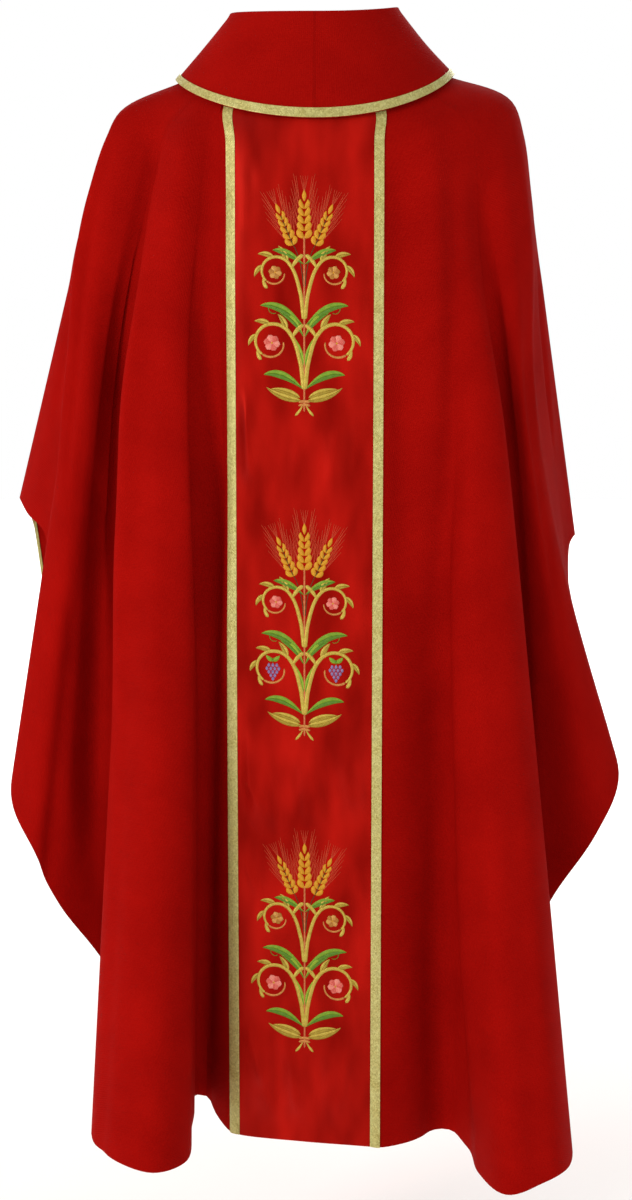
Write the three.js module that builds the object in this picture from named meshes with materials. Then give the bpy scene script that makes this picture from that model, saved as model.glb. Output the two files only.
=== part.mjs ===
// A chasuble: a wide sleeveless outer vestment with a roll collar, hanging hollow from the
// shoulders, its sides held out by the arms. The embroidered back faces -Y.
// Millimetres, +Z up. The origin is the middle of the neck, at the height of the shoulder line.

import * as THREE from 'three';

// ---- driving dimensions ----

const CLOTH = 2;              // wall of the main cloth
const SATIN = 1;              // wall of the orphrey
const GALLOON = 1.4;          // thickness of the gold galloon
const GALLOON_WIDTH = 11;
const TAPE = 1;               // thickness of the tape inside the wings' hem
const SEAM_GAP = 0.3;         // between two edges sewn together
const LAY_GAP = 0.3;          // between a panel and what is sewn flat on it
const BAND_CENTRE = -13;      // middle line of the orphrey, across the back
const BAND_HALF = 88.5;       // half the orphrey's width, galloons included
const BAND_TOP = 0.036;       // where the orphrey starts, under the collar's fall
const INNER = 1 - GALLOON_WIDTH / BAND_HALF;    // the galloons' inner edges, as a share of that half
const COLLAR_TURNS = 42;      // columns round the collar
const TAPE_TOP = 0.979;       // upper edge of the tape inside the wings' hem, about 11 mm up

// Sections over the neck, shoulders and upper arms. reach runs from the neck seam, 0, to the
// hem, 1. left, right, back and front are half widths and half depths, up... are heights,
// power is the squareness of the curve (2 is an ellipse), band is half the orphrey's width.
const SECTIONS = table(
  ['name', 'reach', 'left', 'right', 'back', 'front', 'upLeft', 'upRight', 'upBack', 'upFront',
    'power', 'band'],
  [
    ['neck seam', 0, 99, 99, 84, 84, 6, 8, -12, -24, 2.0, 0.62],
    ['collar edge', 0.055, 158, 155, 110, 112, -16, -9, -55, -66, 2.0, 1],
    ['shoulder', 0.115, 226, 226, 121, 122, -48, -37, -92, -98, 2.1, 1],
    ['upper arm', 0.15, 242, 239, 126, 126, -78, -74, -128, -134, 2.25, 1],
    ['arm', 0.2, 260, 248, 128, 128, -136, -136, -180, -184, 2.35, 1],
  ],
);

// Fold lines, in order round the garment from the centre back. Each starts on the sections at
// its turn (degrees from the centre back, towards +X) and hangs nearly straight to its place on
// the hem: across, deep and up. flare above 1 lets it open out late, near the hem.
// band lines start on the orphrey instead, at that share of its half width.
const FOLDS = table(
  ['name', 'turn', 'across', 'deep', 'up', 'flare', 'band'],
  [
    ['centre back', 0, -13, -128, -1242, 1.0, 0],
    ['right galloon inner', 0, 63.5, -134, -1246, 1.0, INNER],
    ['right galloon outer', 0, 74.5, -135, -1247, 1.0, 1],
    ['right hollow', 23, 128, -112, -1245, 1.3, null],
    ['right hollow end', 29, 158, -98, -1243, 1.3, null],
    ['right tube inner', 32, 180, -118, -1254, 1.25, null],
    ['right tube side', 34.5, 189, -172, -1263, 1.25, null],
    ['right tube front', 38, 220, -234, -1264, 1.2, null],
    ['right tube outer', 42, 272, -222, -1248, 1.1, null],
    ['right tube crest', 45, 297, -166, -1242, 0.95, null],
    ['right tube back', 46.5, 270, -92, -1165, 0.9, null],
    ['right valley', 48.5, 250, -24, -1050, 0.75, null],
    ['right outer low', 52, 284, -40, -970, 0.95, null],
    ['right outer face', 60, 330, -66, -888, 1.4, null],
    ['right outer crest', 69, 359, -40, -824, 1.9, null],
    ['right outer back', 77, 332, 6, -735, 1.85, null],
    ['right groove', 84, 308, 40, -640, 1.2, null],
    ['right wing back', 88, 307, 64, -560, 1.0, null],
    ['right seam', 91, 317, 92, -550, 1.0, null],
    ['right wing front', 95, 312, 116, -566, 1.0, null],
    ['right front groove', 99, 310, 142, -650, 1.0, null],
    ['right front crest', 106, 330, 204, -790, 1.0, null],
    ['right front face', 112, 302, 226, -880, 1.1, null],
    ['right front fall', 119, 264, 158, -975, 1.0, null],
    ['right front valley', 124, 236, 148, -1060, 1.0, null],
    ['right front valley wall', 128, 238, 184, -1128, 1.0, null],
    ['right front tube crest', 132, 272, 214, -1182, 1.0, null],
    ['right front tube', 138, 234, 244, -1220, 1.1, null],
    ['right front tube inner', 146, 178, 220, -1228, 1.2, null],
    ['right front hollow', 154, 120, 156, -1222, 1.2, null],
    ['right front ripple', 166, 58, 168, -1225, 1.2, null],
    ['centre front', 180, -6, 152, -1222, 1.2, null],
    ['left front ripple', 193, -62, 171, -1226, 1.2, null],
    ['left front hollow', 204, -116, 154, -1222, 1.2, null],
    ['left front tube inner', 214, -172, 216, -1228, 1.2, null],
    ['left front tube', 222, -230, 243, -1221, 1.1, null],
    ['left front tube crest', 228, -270, 212, -1184, 1.0, null],
    ['left front valley wall', 232, -238, 182, -1130, 1.0, null],
    ['left front valley', 236, -236, 146, -1064, 1.0, null],
    ['left front fall', 241, -268, 156, -985, 1.0, null],
    ['left front face', 248, -312, 224, -890, 1.1, null],
    ['left front crest', 254, -342, 200, -790, 1.0, null],
    ['left front groove', 262, -338, 134, -645, 1.0, null],
    ['left wing front', 266, -351, 106, -528, 1.0, null],
    ['left seam', 270, -360, 78, -503, 1.0, null],
    ['left wing back', 273, -346, 42, -519, 1.0, null],
    ['left groove', 276.5, -322, 12, -541, 1.0, null],
    ['left outer back', 281, -341, 2, -735, 1.05, null],
    ['left outer crest', 287, -362, -38, -850, 1.05, null],
    ['left outer face', 294, -333, -62, -910, 1.0, null],
    ['left outer low', 300, -307, -48, -977, 1.0, null],
    ['left outer end', 305, -263, -26, -1046, 0.8, null],
    ['left valley', 309, -231, -14, -1105, 0.7, null],
    ['left tube back', 311.5, -236, -84, -1160, 0.85, null],
    ['left tube crest', 313.5, -261, -152, -1222, 1.0, null],
    ['left tube outer', 318, -236, -206, -1230, 1.1, null],
    ['left tube front', 325, -184, -238, -1236, 1.1, null],
    ['left tube inner', 331, -149, -204, -1236, 1.0, null],
    ['left cleft side', 334, -146, -130, -1220, 1.15, null],
    ['left cleft', 337.5, -137, -70, -1210, 1.3, null],
    ['left galloon outer', 0, -100.5, -108, -1238, 1.0, -1],
    ['left galloon inner', 0, -89.5, -114, -1239, 1.0, -INNER],
  ],
);

// The collar's path from its seam over the roll to its free edge, in the sections' columns.
const COLLAR = table(
  ['name', 'left', 'right', 'back', 'front', 'upLeft', 'upRight', 'upBack', 'upFront', 'power'],
  [
    ['foot', 99.5, 99.5, 84.5, 84.5, 8.0, 10.0, -10.3, -22.2, 2.0],
    ['stand', 96, 95, 79, 79, 35, 39, 20, 10, 2.0],
    ['roll inside', 92, 88, 74, 74, 55, 61, 50, 35, 2.1],
    ['roll top', 97, 93, 79, 79, 62, 69, 57, 42, 2.1],
    ['roll outside', 103, 99, 84, 84, 54, 61, 50, 35, 2.1],
    ['fall', 130, 127, 101, 101, 22, 27, -3, -14, 2.05],
    ['free edge', 160, 158, 121, 118, -12, -5, -61, -64, 2.0],
  ],
);

// The panels' rows, as reach from the neck seam to the hem.
const ROWS = [0, 0.018, BAND_TOP, 0.055, 0.085, 0.115, 0.15, 0.2, 0.28, 0.4, 0.54, 0.69, 0.84,
  TAPE_TOP, 1];
const COLUMN_STEP = 30;       // aimed at between two columns, along the hem

const RED_CLOTH = { color: 0xa30d0b, roughness: 0.85, metalness: 0 };
const RED_SATIN = { color: 0xb3120c, roughness: 0.4, metalness: 0 };
const GOLD_GALLOON = { color: 0xc8b05e, roughness: 0.45, metalness: 0.35 };

// ---- the garment's surface ----

function table(columns, rows) {
  return rows.map((row) => Object.fromEntries(columns.map((column, i) => [column, row[i]])));
}

// A point on a squared ellipse whose half widths, half depths and heights differ by side.
function sectionPoint(section, turn) {
  const angle = THREE.MathUtils.degToRad(turn);
  const side = Math.sin(angle);
  const toBack = Math.cos(angle);
  const width = side >= 0 ? section.right : section.left;
  const depth = toBack >= 0 ? section.back : section.front;
  const upSide = side >= 0 ? section.upRight : section.upLeft;
  const upEnd = toBack >= 0 ? section.upBack : section.upFront;
  const bend = 2 / section.power;
  const dip = Math.abs(toBack) ** 1.4;
  return new THREE.Vector3(
    Math.sign(side) * width * Math.abs(side) ** bend,
    -Math.sign(toBack) * depth * Math.abs(toBack) ** bend,
    upSide + (upEnd - upSide) * dip,
  );
}

// The turn at which a section's back half is this far across.
function turnAcross(section, across) {
  const width = across >= 0 ? section.right : section.left;
  const turn = THREE.MathUtils.radToDeg(Math.asin((Math.abs(across) / width) ** (section.power / 2)));
  return across >= 0 ? turn : -turn;
}

// Turns of all fold lines on one section. Between the orphrey and the seams at the sides they
// are squeezed in proportion, so that the orphrey keeps its width on every section.
function foldTurns(section) {
  const arm = SECTIONS.at(-1);
  const bandTurn = (on, share) => turnAcross(on, BAND_CENTRE * on.band + share * BAND_HALF * on.band);
  const squeeze = (turn, side) => {
    const from = Math.abs(bandTurn(arm, side));
    const to = Math.abs(bandTurn(section, side));
    return 90 + (turn - 90) * (90 - to) / (90 - from);
  };
  return FOLDS.map((fold) => {
    if (fold.band !== null) return bandTurn(section, fold.band);
    if (fold.turn <= 90) return squeeze(fold.turn, 1);
    if (fold.turn >= 270) return -squeeze(360 - fold.turn, -1);
    return fold.turn;
  });
}

// Slopes at inner knots, of the parabola through each knot and its two neighbours.
function slopes(knots, points) {
  return points.slice(1, -1).map((point, i) => {
    const before = knots[i + 1] - knots[i];
    const after = knots[i + 2] - knots[i + 1];
    const rise = point.clone().sub(points[i]).multiplyScalar(after / before);
    const next = points[i + 2].clone().sub(point).multiplyScalar(before / after);
    return rise.add(next).divideScalar(before + after);
  });
}

// A smooth curve through points at knots: cubic pieces that share the slopes above.
function curveThrough(knots, points, closedLength = null) {
  const n = knots.length;
  const mirror = (end, inner) => end.clone().multiplyScalar(2).sub(inner);
  const first = closedLength ? points[n - 1] : mirror(points[0], points[1]);
  const last = closedLength ? points[0] : mirror(points[n - 1], points[n - 2]);
  const padded = [first, ...points, last];
  const steps = [
    closedLength ? knots[n - 1] - closedLength : 2 * knots[0] - knots[1],
    ...knots,
    closedLength ? closedLength : 2 * knots[n - 1] - knots[n - 2],
  ];
  if (closedLength) {
    padded.push(points[1]);
    steps.push(closedLength + knots[1]);
  }
  const slope = slopes(steps, padded);
  const inner = padded.slice(1, -1);
  const innerSteps = steps.slice(1, -1);
  return (at) => {
    const place = closedLength ? THREE.MathUtils.euclideanModulo(at, closedLength) : at;
    let i = innerSteps.findLastIndex((knot) => knot <= place);
    i = THREE.MathUtils.clamp(i, 0, inner.length - 2);
    const length = innerSteps[i + 1] - innerSteps[i];
    const t = (place - innerSteps[i]) / length;
    return inner[i].clone().multiplyScalar(2 * t ** 3 - 3 * t ** 2 + 1)
      .addScaledVector(slope[i], (t ** 3 - 2 * t ** 2 + t) * length)
      .addScaledVector(inner[i + 1], -2 * t ** 3 + 3 * t ** 2)
      .addScaledVector(slope[i + 1], (t ** 3 - t ** 2) * length);
  };
}

// Each fold line as a curve from the neck seam, through the sections and two hanging points.
function foldCurves() {
  const turns = SECTIONS.map(foldTurns);
  const armReach = SECTIONS.at(-1).reach;
  return FOLDS.map((fold, i) => {
    const upper = SECTIONS.map((section, s) => sectionPoint(section, turns[s][i]));
    const arm = upper.at(-1);
    const hem = new THREE.Vector3(fold.across, fold.deep, fold.up);
    const hanging = [0.33, 0.66].map((share) => {
      const point = arm.clone().lerp(hem, share ** fold.flare);
      point.z = THREE.MathUtils.lerp(arm.z, hem.z, share);
      return point;
    });
    const reaches = [0.33, 0.66, 1].map((share) => armReach + (1 - armReach) * share);
    return curveThrough([...SECTIONS.map((s) => s.reach), ...reaches], [...upper, ...hanging, hem]);
  });
}

const FOLD_CURVES = foldCurves();

// Places of the fold lines round the garment: steps grow with the distance along the hem,
// but less than in proportion, which keeps tight folds round.
const FOLD_PLACES = [0];
const FOLD_COLUMNS = [];
FOLDS.forEach((fold, i) => {
  const next = FOLDS[(i + 1) % FOLDS.length];
  const step = Math.hypot(next.across - fold.across, next.deep - fold.deep, next.up - fold.up);
  FOLD_PLACES.push(FOLD_PLACES[i] + step ** 0.6);
  FOLD_COLUMNS.push(Math.max(1, Math.round(step / COLUMN_STEP)));
});
const ROUND = FOLD_PLACES.pop();

const ringCache = new Map();

function ringAt(reach) {
  if (!ringCache.has(reach)) {
    ringCache.set(reach, curveThrough(FOLD_PLACES, FOLD_CURVES.map((curve) => curve(reach)), ROUND));
  }
  return ringCache.get(reach);
}

// The middle of the cloth at a place round the garment and a reach, and its outward normal.
function clothAt(place, reach) {
  const nudge = 0.02;
  const above = Math.max(reach - 0.002, 0);
  const below = Math.min(reach + 0.002, 1);
  const round = ringAt(reach)(place + nudge).sub(ringAt(reach)(place - nudge));
  const down = ringAt(below)(place).sub(ringAt(above)(place));
  return { point: ringAt(reach)(place), normal: down.cross(round).normalize(), round };
}

// ---- solids ----

// Two grids of points, rows by columns, joined along their borders into one closed wall.
// The outer grid's columns run anticlockwise seen from outside, its rows downwards.
function wallGeometry(outer, inner, ring = false) {
  const rows = outer.length;
  const columns = outer[0].length;
  const points = [...outer.flat(), ...inner.flat()];
  const index = (layer, row, column) => (layer * rows + row) * columns + column % columns;
  const faces = [];
  const quad = (a, b, c, d) => faces.push(a, b, c, a, c, d);
  const spans = ring ? columns : columns - 1;
  for (let row = 0; row < rows - 1; row += 1) {
    for (let column = 0; column < spans; column += 1) {
      const corners = (layer) => [
        index(layer, row, column), index(layer, row + 1, column),
        index(layer, row + 1, column + 1), index(layer, row, column + 1),
      ];
      const [a, b, c, d] = corners(1);
      quad(...corners(0));
      quad(a, d, c, b);
    }
  }
  for (let column = 0; column < spans; column += 1) {
    const last = rows - 1;
    quad(index(0, 0, column), index(0, 0, column + 1), index(1, 0, column + 1), index(1, 0, column));
    quad(index(0, last, column + 1), index(0, last, column), index(1, last, column),
      index(1, last, column + 1));
  }
  if (!ring) {
    const end = columns - 1;
    for (let row = 0; row < rows - 1; row += 1) {
      quad(index(0, row + 1, 0), index(0, row, 0), index(1, row, 0), index(1, row + 1, 0));
      quad(index(0, row, end), index(0, row + 1, end), index(1, row + 1, end), index(1, row, end));
    }
  }
  const geometry = new THREE.BufferGeometry();
  geometry.setAttribute('position', new THREE.Float32BufferAttribute(points.flatMap((p) => [...p]), 3));
  geometry.setIndex(faces);
  geometry.computeVertexNormals();
  return geometry;
}

// A wall on the garment's surface. places are the columns, from and to the offsets of its two
// faces from the middle of the cloth, trim what its two side edges give to their seams.
function clothWall(places, reaches, from, to, trim = 0) {
  const layers = [[], []];
  for (const reach of reaches) {
    const rows = [[], []];
    places.forEach((place, i) => {
      const { point, normal, round } = clothAt(place, reach);
      const end = Number(i === 0) - Number(i === places.length - 1);
      point.addScaledVector(round.normalize(), end * trim);
      rows[0].push(point.clone().addScaledVector(normal, to));
      rows[1].push(point.clone().addScaledVector(normal, from));
    });
    layers[0].push(rows[0]);
    layers[1].push(rows[1]);
  }
  return wallGeometry(layers[0], layers[1]);
}

// Column places from one fold line to another, with the fold lines themselves among them.
function columnsBetween(fromName, toName) {
  const number = (name) => FOLDS.findIndex((fold) => fold.name === name);
  const last = number(toName) > number(fromName) ? number(toName) : number(toName) + FOLDS.length;
  const placeAt = (i) => FOLD_PLACES[i % FOLDS.length] + Math.floor(i / FOLDS.length) * ROUND;
  const places = [];
  for (let i = number(fromName); i < last; i += 1) {
    const parts = FOLD_COLUMNS[i % FOLDS.length];
    for (let part = 0; part < parts; part += 1) {
      places.push(THREE.MathUtils.lerp(placeAt(i), placeAt(i + 1), part / parts));
    }
  }
  return [...places, placeAt(last)];
}

// The collar's middle surface: paths over the roll at even turns, and their normals.
const COLLAR_STEPS = [0, 1, 1.6, 2, 2.5, 3, 3.5, 4, 4.6, 5.3, 6];

function collarAt(turn, step) {
  const path = (atTurn) => curveThrough(COLLAR.map((_, i) => i),
    COLLAR.map((section) => sectionPoint(section, atTurn)));
  const nudge = 0.02;
  const point = path(turn)(step);
  const round = path(turn + nudge)(step).sub(path(turn - nudge)(step));
  const along = path(turn)(Math.min(step + nudge, COLLAR.length - 1))
    .sub(path(turn)(Math.max(step - nudge, 0)));
  return { point, normal: along.cross(round).normalize() };
}

function collarWall(steps, from, to) {
  const turns = Array.from({ length: COLLAR_TURNS }, (_, i) => i * 360 / COLLAR_TURNS);
  const layer = (offset) => steps.map((step) => turns.map((turn) => {
    const { point, normal } = collarAt(turn, step);
    return point.addScaledVector(normal, offset);
  }));
  return wallGeometry(layer(to), layer(from), true);
}

// ---- the pieces ----

const group = new THREE.Group();
group.name = 'chasuble';

function addPiece(name, geometry, finish) {
  const mesh = new THREE.Mesh(geometry, new THREE.MeshStandardMaterial(finish));
  mesh.name = name;
  group.add(mesh);
}

function addPanels() {
  const wall = [-CLOTH / 2, CLOTH / 2, SEAM_GAP / 2];
  addPiece('back_panel', clothWall(columnsBetween('left seam', 'right seam'), ROWS, ...wall), RED_CLOTH);
  addPiece('front_panel', clothWall(columnsBetween('right seam', 'left seam'), ROWS, ...wall), RED_CLOTH);
}

function addOrphrey() {
  const rows = ROWS.filter((reach) => reach >= BAND_TOP);
  const from = CLOTH / 2 + LAY_GAP;
  addPiece('back_orphrey', clothWall(columnsBetween('left galloon inner', 'right galloon inner'),
    rows, from, from + SATIN, SEAM_GAP), RED_SATIN);
  addPiece('back_galloon_left', clothWall(columnsBetween('left galloon outer', 'left galloon inner'),
    rows, from, from + GALLOON), GOLD_GALLOON);
  addPiece('back_galloon_right', clothWall(columnsBetween('right galloon inner', 'right galloon outer'),
    rows, from, from + GALLOON), GOLD_GALLOON);
}

function addCollar() {
  addPiece('collar', collarWall(COLLAR_STEPS, -CLOTH / 2, CLOTH / 2), RED_CLOTH);
  const edge = COLLAR.length - 1;
  const fall = collarAt(0, edge).point.distanceTo(collarAt(0, edge - 1).point);
  const from = CLOTH / 2 + LAY_GAP;
  addPiece('collar_galloon', collarWall([edge - GALLOON_WIDTH / fall, edge], from, from + GALLOON),
    GOLD_GALLOON);
}

// A tape along the hem, inside the front panel, from the seam at the wrist round the wing.
function addWingTape(name, fromName, toName) {
  const to = -CLOTH / 2 - LAY_GAP;
  addPiece(name, clothWall(columnsBetween(fromName, toName), [TAPE_TOP, 1], to - TAPE, to, SEAM_GAP),
    GOLD_GALLOON);
}

addPanels();
addOrphrey();
addCollar();
addWingTape('wing_tape_right', 'right seam', 'right front groove');
addWingTape('wing_tape_left', 'left front groove', 'left seam');

export default group;
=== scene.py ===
"""The looks of a chasuble: red cloth panels in deep hanging folds, a roll collar, and a centre-back
orphrey of red satin between two gold galloons, embroidered with three motifs in coloured thread.

Tables are in millimetres, as a maker would cut and sew them, and every mesh is in metres. A point of
the cloth is given by its place round the garment and its reach from the neck seam, 0, to the hem, 1.
"""

from math import cos, pi, radians, sin
import bpy  # noqa: E402
import numpy as np  # noqa: E402
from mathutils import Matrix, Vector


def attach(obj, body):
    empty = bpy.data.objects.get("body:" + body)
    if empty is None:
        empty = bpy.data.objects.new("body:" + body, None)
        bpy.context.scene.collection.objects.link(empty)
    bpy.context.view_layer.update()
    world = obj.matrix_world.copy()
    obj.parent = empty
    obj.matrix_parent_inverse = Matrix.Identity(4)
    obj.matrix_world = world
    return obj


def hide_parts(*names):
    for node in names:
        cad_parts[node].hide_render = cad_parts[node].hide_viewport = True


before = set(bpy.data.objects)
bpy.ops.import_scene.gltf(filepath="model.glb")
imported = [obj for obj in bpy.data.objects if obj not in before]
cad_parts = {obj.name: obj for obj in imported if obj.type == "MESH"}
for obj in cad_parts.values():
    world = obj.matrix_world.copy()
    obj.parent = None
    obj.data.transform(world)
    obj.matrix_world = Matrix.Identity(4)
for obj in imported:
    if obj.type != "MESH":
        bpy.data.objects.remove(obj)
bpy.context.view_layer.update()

bl_info = {
    "name": "Chasuble",
    "version": (1, 0, 0),
    "blender": (4, 5, 0),
    "location": "View3D > Sidebar > Vestment",
    "description": "Builds a chasuble with a roll collar, a satin orphrey and thread embroidery",
    "category": "Add Mesh",
}

MM = 0.001
BODY = "root"

# ---- the cut and the hang ----

CLOTH = 2  # wall of the main cloth
SATIN = 1  # wall of the orphrey
GALLOON = 1.4  # thickness of the gold galloon
GALLOON_WIDTH = 11
TAPE = 1  # thickness of the tape inside the wings' hem
SEAM_GAP = 0.3  # between two edges sewn together
LAY_GAP = 0.3  # between a panel and what is sewn flat on it
BAND_CENTRE = -13  # middle line of the orphrey, across the back
BAND_HALF = 88.5  # half the orphrey's width, galloons included
BAND_TOP = 0.036  # reach where the orphrey starts, under the collar's fall
INNER = 1 - GALLOON_WIDTH / BAND_HALF  # half the satin's width, as a share of the orphrey's
HANGING_ROWS = (0.33, 0.66)  # shares of the way from the arms to the hem where folds are shaped
TAPE_TOP = 0.979  # reach of the upper edge of the tape inside the wings' hem
NECK_RADIUS = 90  # of the neck seam on the panels' flat cut
CREASE_END = 0.3  # share of a crease's length in which it dies away at either end
PUCKER_EDGE = 14  # width beside the galloons in which the satin's puckers die away
PUCKER_SOFT = 0.3  # height of the satin over the panel where it has no pucker


def table(columns, *rows):
    """One dictionary for each row, with the columns' names as its keys."""
    return [dict(zip(columns.split(), row)) for row in rows]


def running(steps, axis=0):
    """Sums of the steps up to each point along an axis, from 0."""
    return np.insert(np.cumsum(steps, axis=axis), 0, 0, axis=axis)


def step_lengths(points, axis=0):
    """Distances between neighbouring points along an axis."""
    return np.linalg.norm(np.diff(points, axis=axis), axis=-1)


def unit(vectors):
    """The vectors divided by their lengths."""
    return vectors / np.linalg.norm(vectors, axis=-1, keepdims=True)


def smooth_step(share):
    """3 s^2 - 2 s^3, with the share s held between 0 and 1."""
    share = np.clip(share, 0, 1)
    return share * share * (3 - 2 * share)


# Sections over the neck, shoulders and upper arms: half widths and half depths, heights of their
# sides, back and front, squareness of the curve (2 is an ellipse) and share of the orphrey's width.
SECTIONS = table(
    "name reach left right back front up_left up_right up_back up_front power band",
    ("neck seam", 0, 99, 99, 84, 84, 6, 8, -12, -24, 2.0, 0.62),
    ("collar edge", 0.055, 158, 155, 110, 112, -16, -9, -55, -66, 2.0, 1),
    ("shoulder", 0.115, 226, 226, 121, 122, -48, -37, -92, -98, 2.1, 1),
    ("upper arm", 0.15, 242, 239, 126, 126, -78, -74, -128, -134, 2.25, 1),
    ("arm", 0.2, 260, 248, 128, 128, -136, -136, -180, -184, 2.35, 1),
)

# Fold lines, in order round the garment from the centre back. Each starts on the sections at its
# turn (degrees from the centre back, towards +X) and hangs nearly straight to its place on the
# hem. flare above 1 lets it open out late. band lines start on the orphrey, at that share of it.
FOLDS = table(
    "name turn across deep up flare band",
    ("centre back", 0, -13, -128, -1242, 1.0, 0),
    ("right galloon inner", 0, 63.5, -134, -1246, 1.0, INNER),
    ("right galloon outer", 0, 74.5, -135, -1247, 1.0, 1),
    ("right hollow", 23, 128, -112, -1245, 1.3, None),
    ("right hollow end", 29, 158, -98, -1243, 1.3, None),
    ("right tube inner", 32, 180, -118, -1254, 1.25, None),
    ("right tube side", 34.5, 189, -172, -1263, 1.25, None),
    ("right tube front", 38, 220, -234, -1264, 1.2, None),
    ("right tube outer", 42, 272, -222, -1248, 1.1, None),
    ("right tube crest", 45, 297, -166, -1242, 0.95, None),
    ("right tube back", 46.5, 270, -92, -1165, 0.9, None),
    ("right valley", 48.5, 250, -24, -1050, 0.75, None),
    ("right outer low", 52, 284, -40, -970, 0.95, None),
    ("right outer face", 60, 330, -66, -888, 1.4, None),
    ("right outer crest", 69, 359, -40, -824, 1.9, None),
    ("right outer back", 77, 332, 6, -735, 1.85, None),
    ("right groove", 84, 308, 40, -640, 1.2, None),
    ("right wing back", 88, 307, 64, -560, 1.0, None),
    ("right seam", 91, 317, 92, -550, 1.0, None),
    ("right wing front", 95, 312, 116, -566, 1.0, None),
    ("right front groove", 99, 310, 142, -650, 1.0, None),
    ("right front crest", 106, 330, 204, -790, 1.0, None),
    ("right front face", 112, 302, 226, -880, 1.1, None),
    ("right front fall", 119, 264, 158, -975, 1.0, None),
    ("right front valley", 124, 236, 148, -1060, 1.0, None),
    ("right front valley wall", 128, 238, 184, -1128, 1.0, None),
    ("right front tube crest", 132, 272, 214, -1182, 1.0, None),
    ("right front tube", 138, 234, 244, -1220, 1.1, None),
    ("right front tube inner", 146, 178, 220, -1228, 1.2, None),
    ("right front hollow", 154, 120, 156, -1222, 1.2, None),
    ("right front ripple", 166, 58, 168, -1225, 1.2, None),
    ("centre front", 180, -6, 152, -1222, 1.2, None),
    ("left front ripple", 193, -62, 171, -1226, 1.2, None),
    ("left front hollow", 204, -116, 154, -1222, 1.2, None),
    ("left front tube inner", 214, -172, 216, -1228, 1.2, None),
    ("left front tube", 222, -230, 243, -1221, 1.1, None),
    ("left front tube crest", 228, -270, 212, -1184, 1.0, None),
    ("left front valley wall", 232, -238, 182, -1130, 1.0, None),
    ("left front valley", 236, -236, 146, -1064, 1.0, None),
    ("left front fall", 241, -268, 156, -985, 1.0, None),
    ("left front face", 248, -312, 224, -890, 1.1, None),
    ("left front crest", 254, -342, 200, -790, 1.0, None),
    ("left front groove", 262, -338, 134, -645, 1.0, None),
    ("left wing front", 266, -351, 106, -528, 1.0, None),
    ("left seam", 270, -360, 78, -503, 1.0, None),
    ("left wing back", 273, -346, 42, -519, 1.0, None),
    ("left groove", 276.5, -322, 12, -541, 1.0, None),
    ("left outer back", 281, -341, 2, -735, 1.05, None),
    ("left outer crest", 287, -362, -38, -850, 1.05, None),
    ("left outer face", 294, -333, -62, -910, 1.0, None),
    ("left outer low", 300, -307, -48, -977, 1.0, None),
    ("left outer end", 305, -263, -26, -1046, 0.8, None),
    ("left valley", 309, -231, -14, -1105, 0.7, None),
    ("left tube back", 311.5, -236, -84, -1160, 0.85, None),
    ("left tube crest", 313.5, -261, -152, -1222, 1.0, None),
    ("left tube outer", 318, -236, -206, -1230, 1.1, None),
    ("left tube front", 325, -184, -238, -1236, 1.1, None),
    ("left tube inner", 331, -149, -204, -1236, 1.0, None),
    ("left cleft side", 334, -146, -130, -1220, 1.15, None),
    ("left cleft", 337.5, -137, -70, -1210, 1.3, None),
    ("left galloon outer", 0, -100.5, -108, -1238, 1.0, -1),
    ("left galloon inner", 0, -89.5, -114, -1239, 1.0, -INNER),
)

# The collar's path from its seam over the roll to its free edge, in the sections' columns.
COLLAR = table(
    "name left right back front up_left up_right up_back up_front power",
    ("foot", 99.5, 99.5, 84.5, 84.5, 8.0, 10.0, -10.3, -22.2, 2.0),
    ("stand", 96, 95, 79, 79, 35, 39, 20, 10, 2.0),
    ("roll inside", 92, 88, 74, 74, 55, 61, 50, 35, 2.1),
    ("roll top", 97, 93, 79, 79, 62, 69, 57, 42, 2.1),
    ("roll outside", 103, 99, 84, 84, 54, 61, 50, 35, 2.1),
    ("fall", 130, 127, 101, 101, 22, 27, -3, -14, 2.05),
    ("free edge", 160, 158, 121, 118, -12, -5, -61, -64, 2.0),
)

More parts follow.
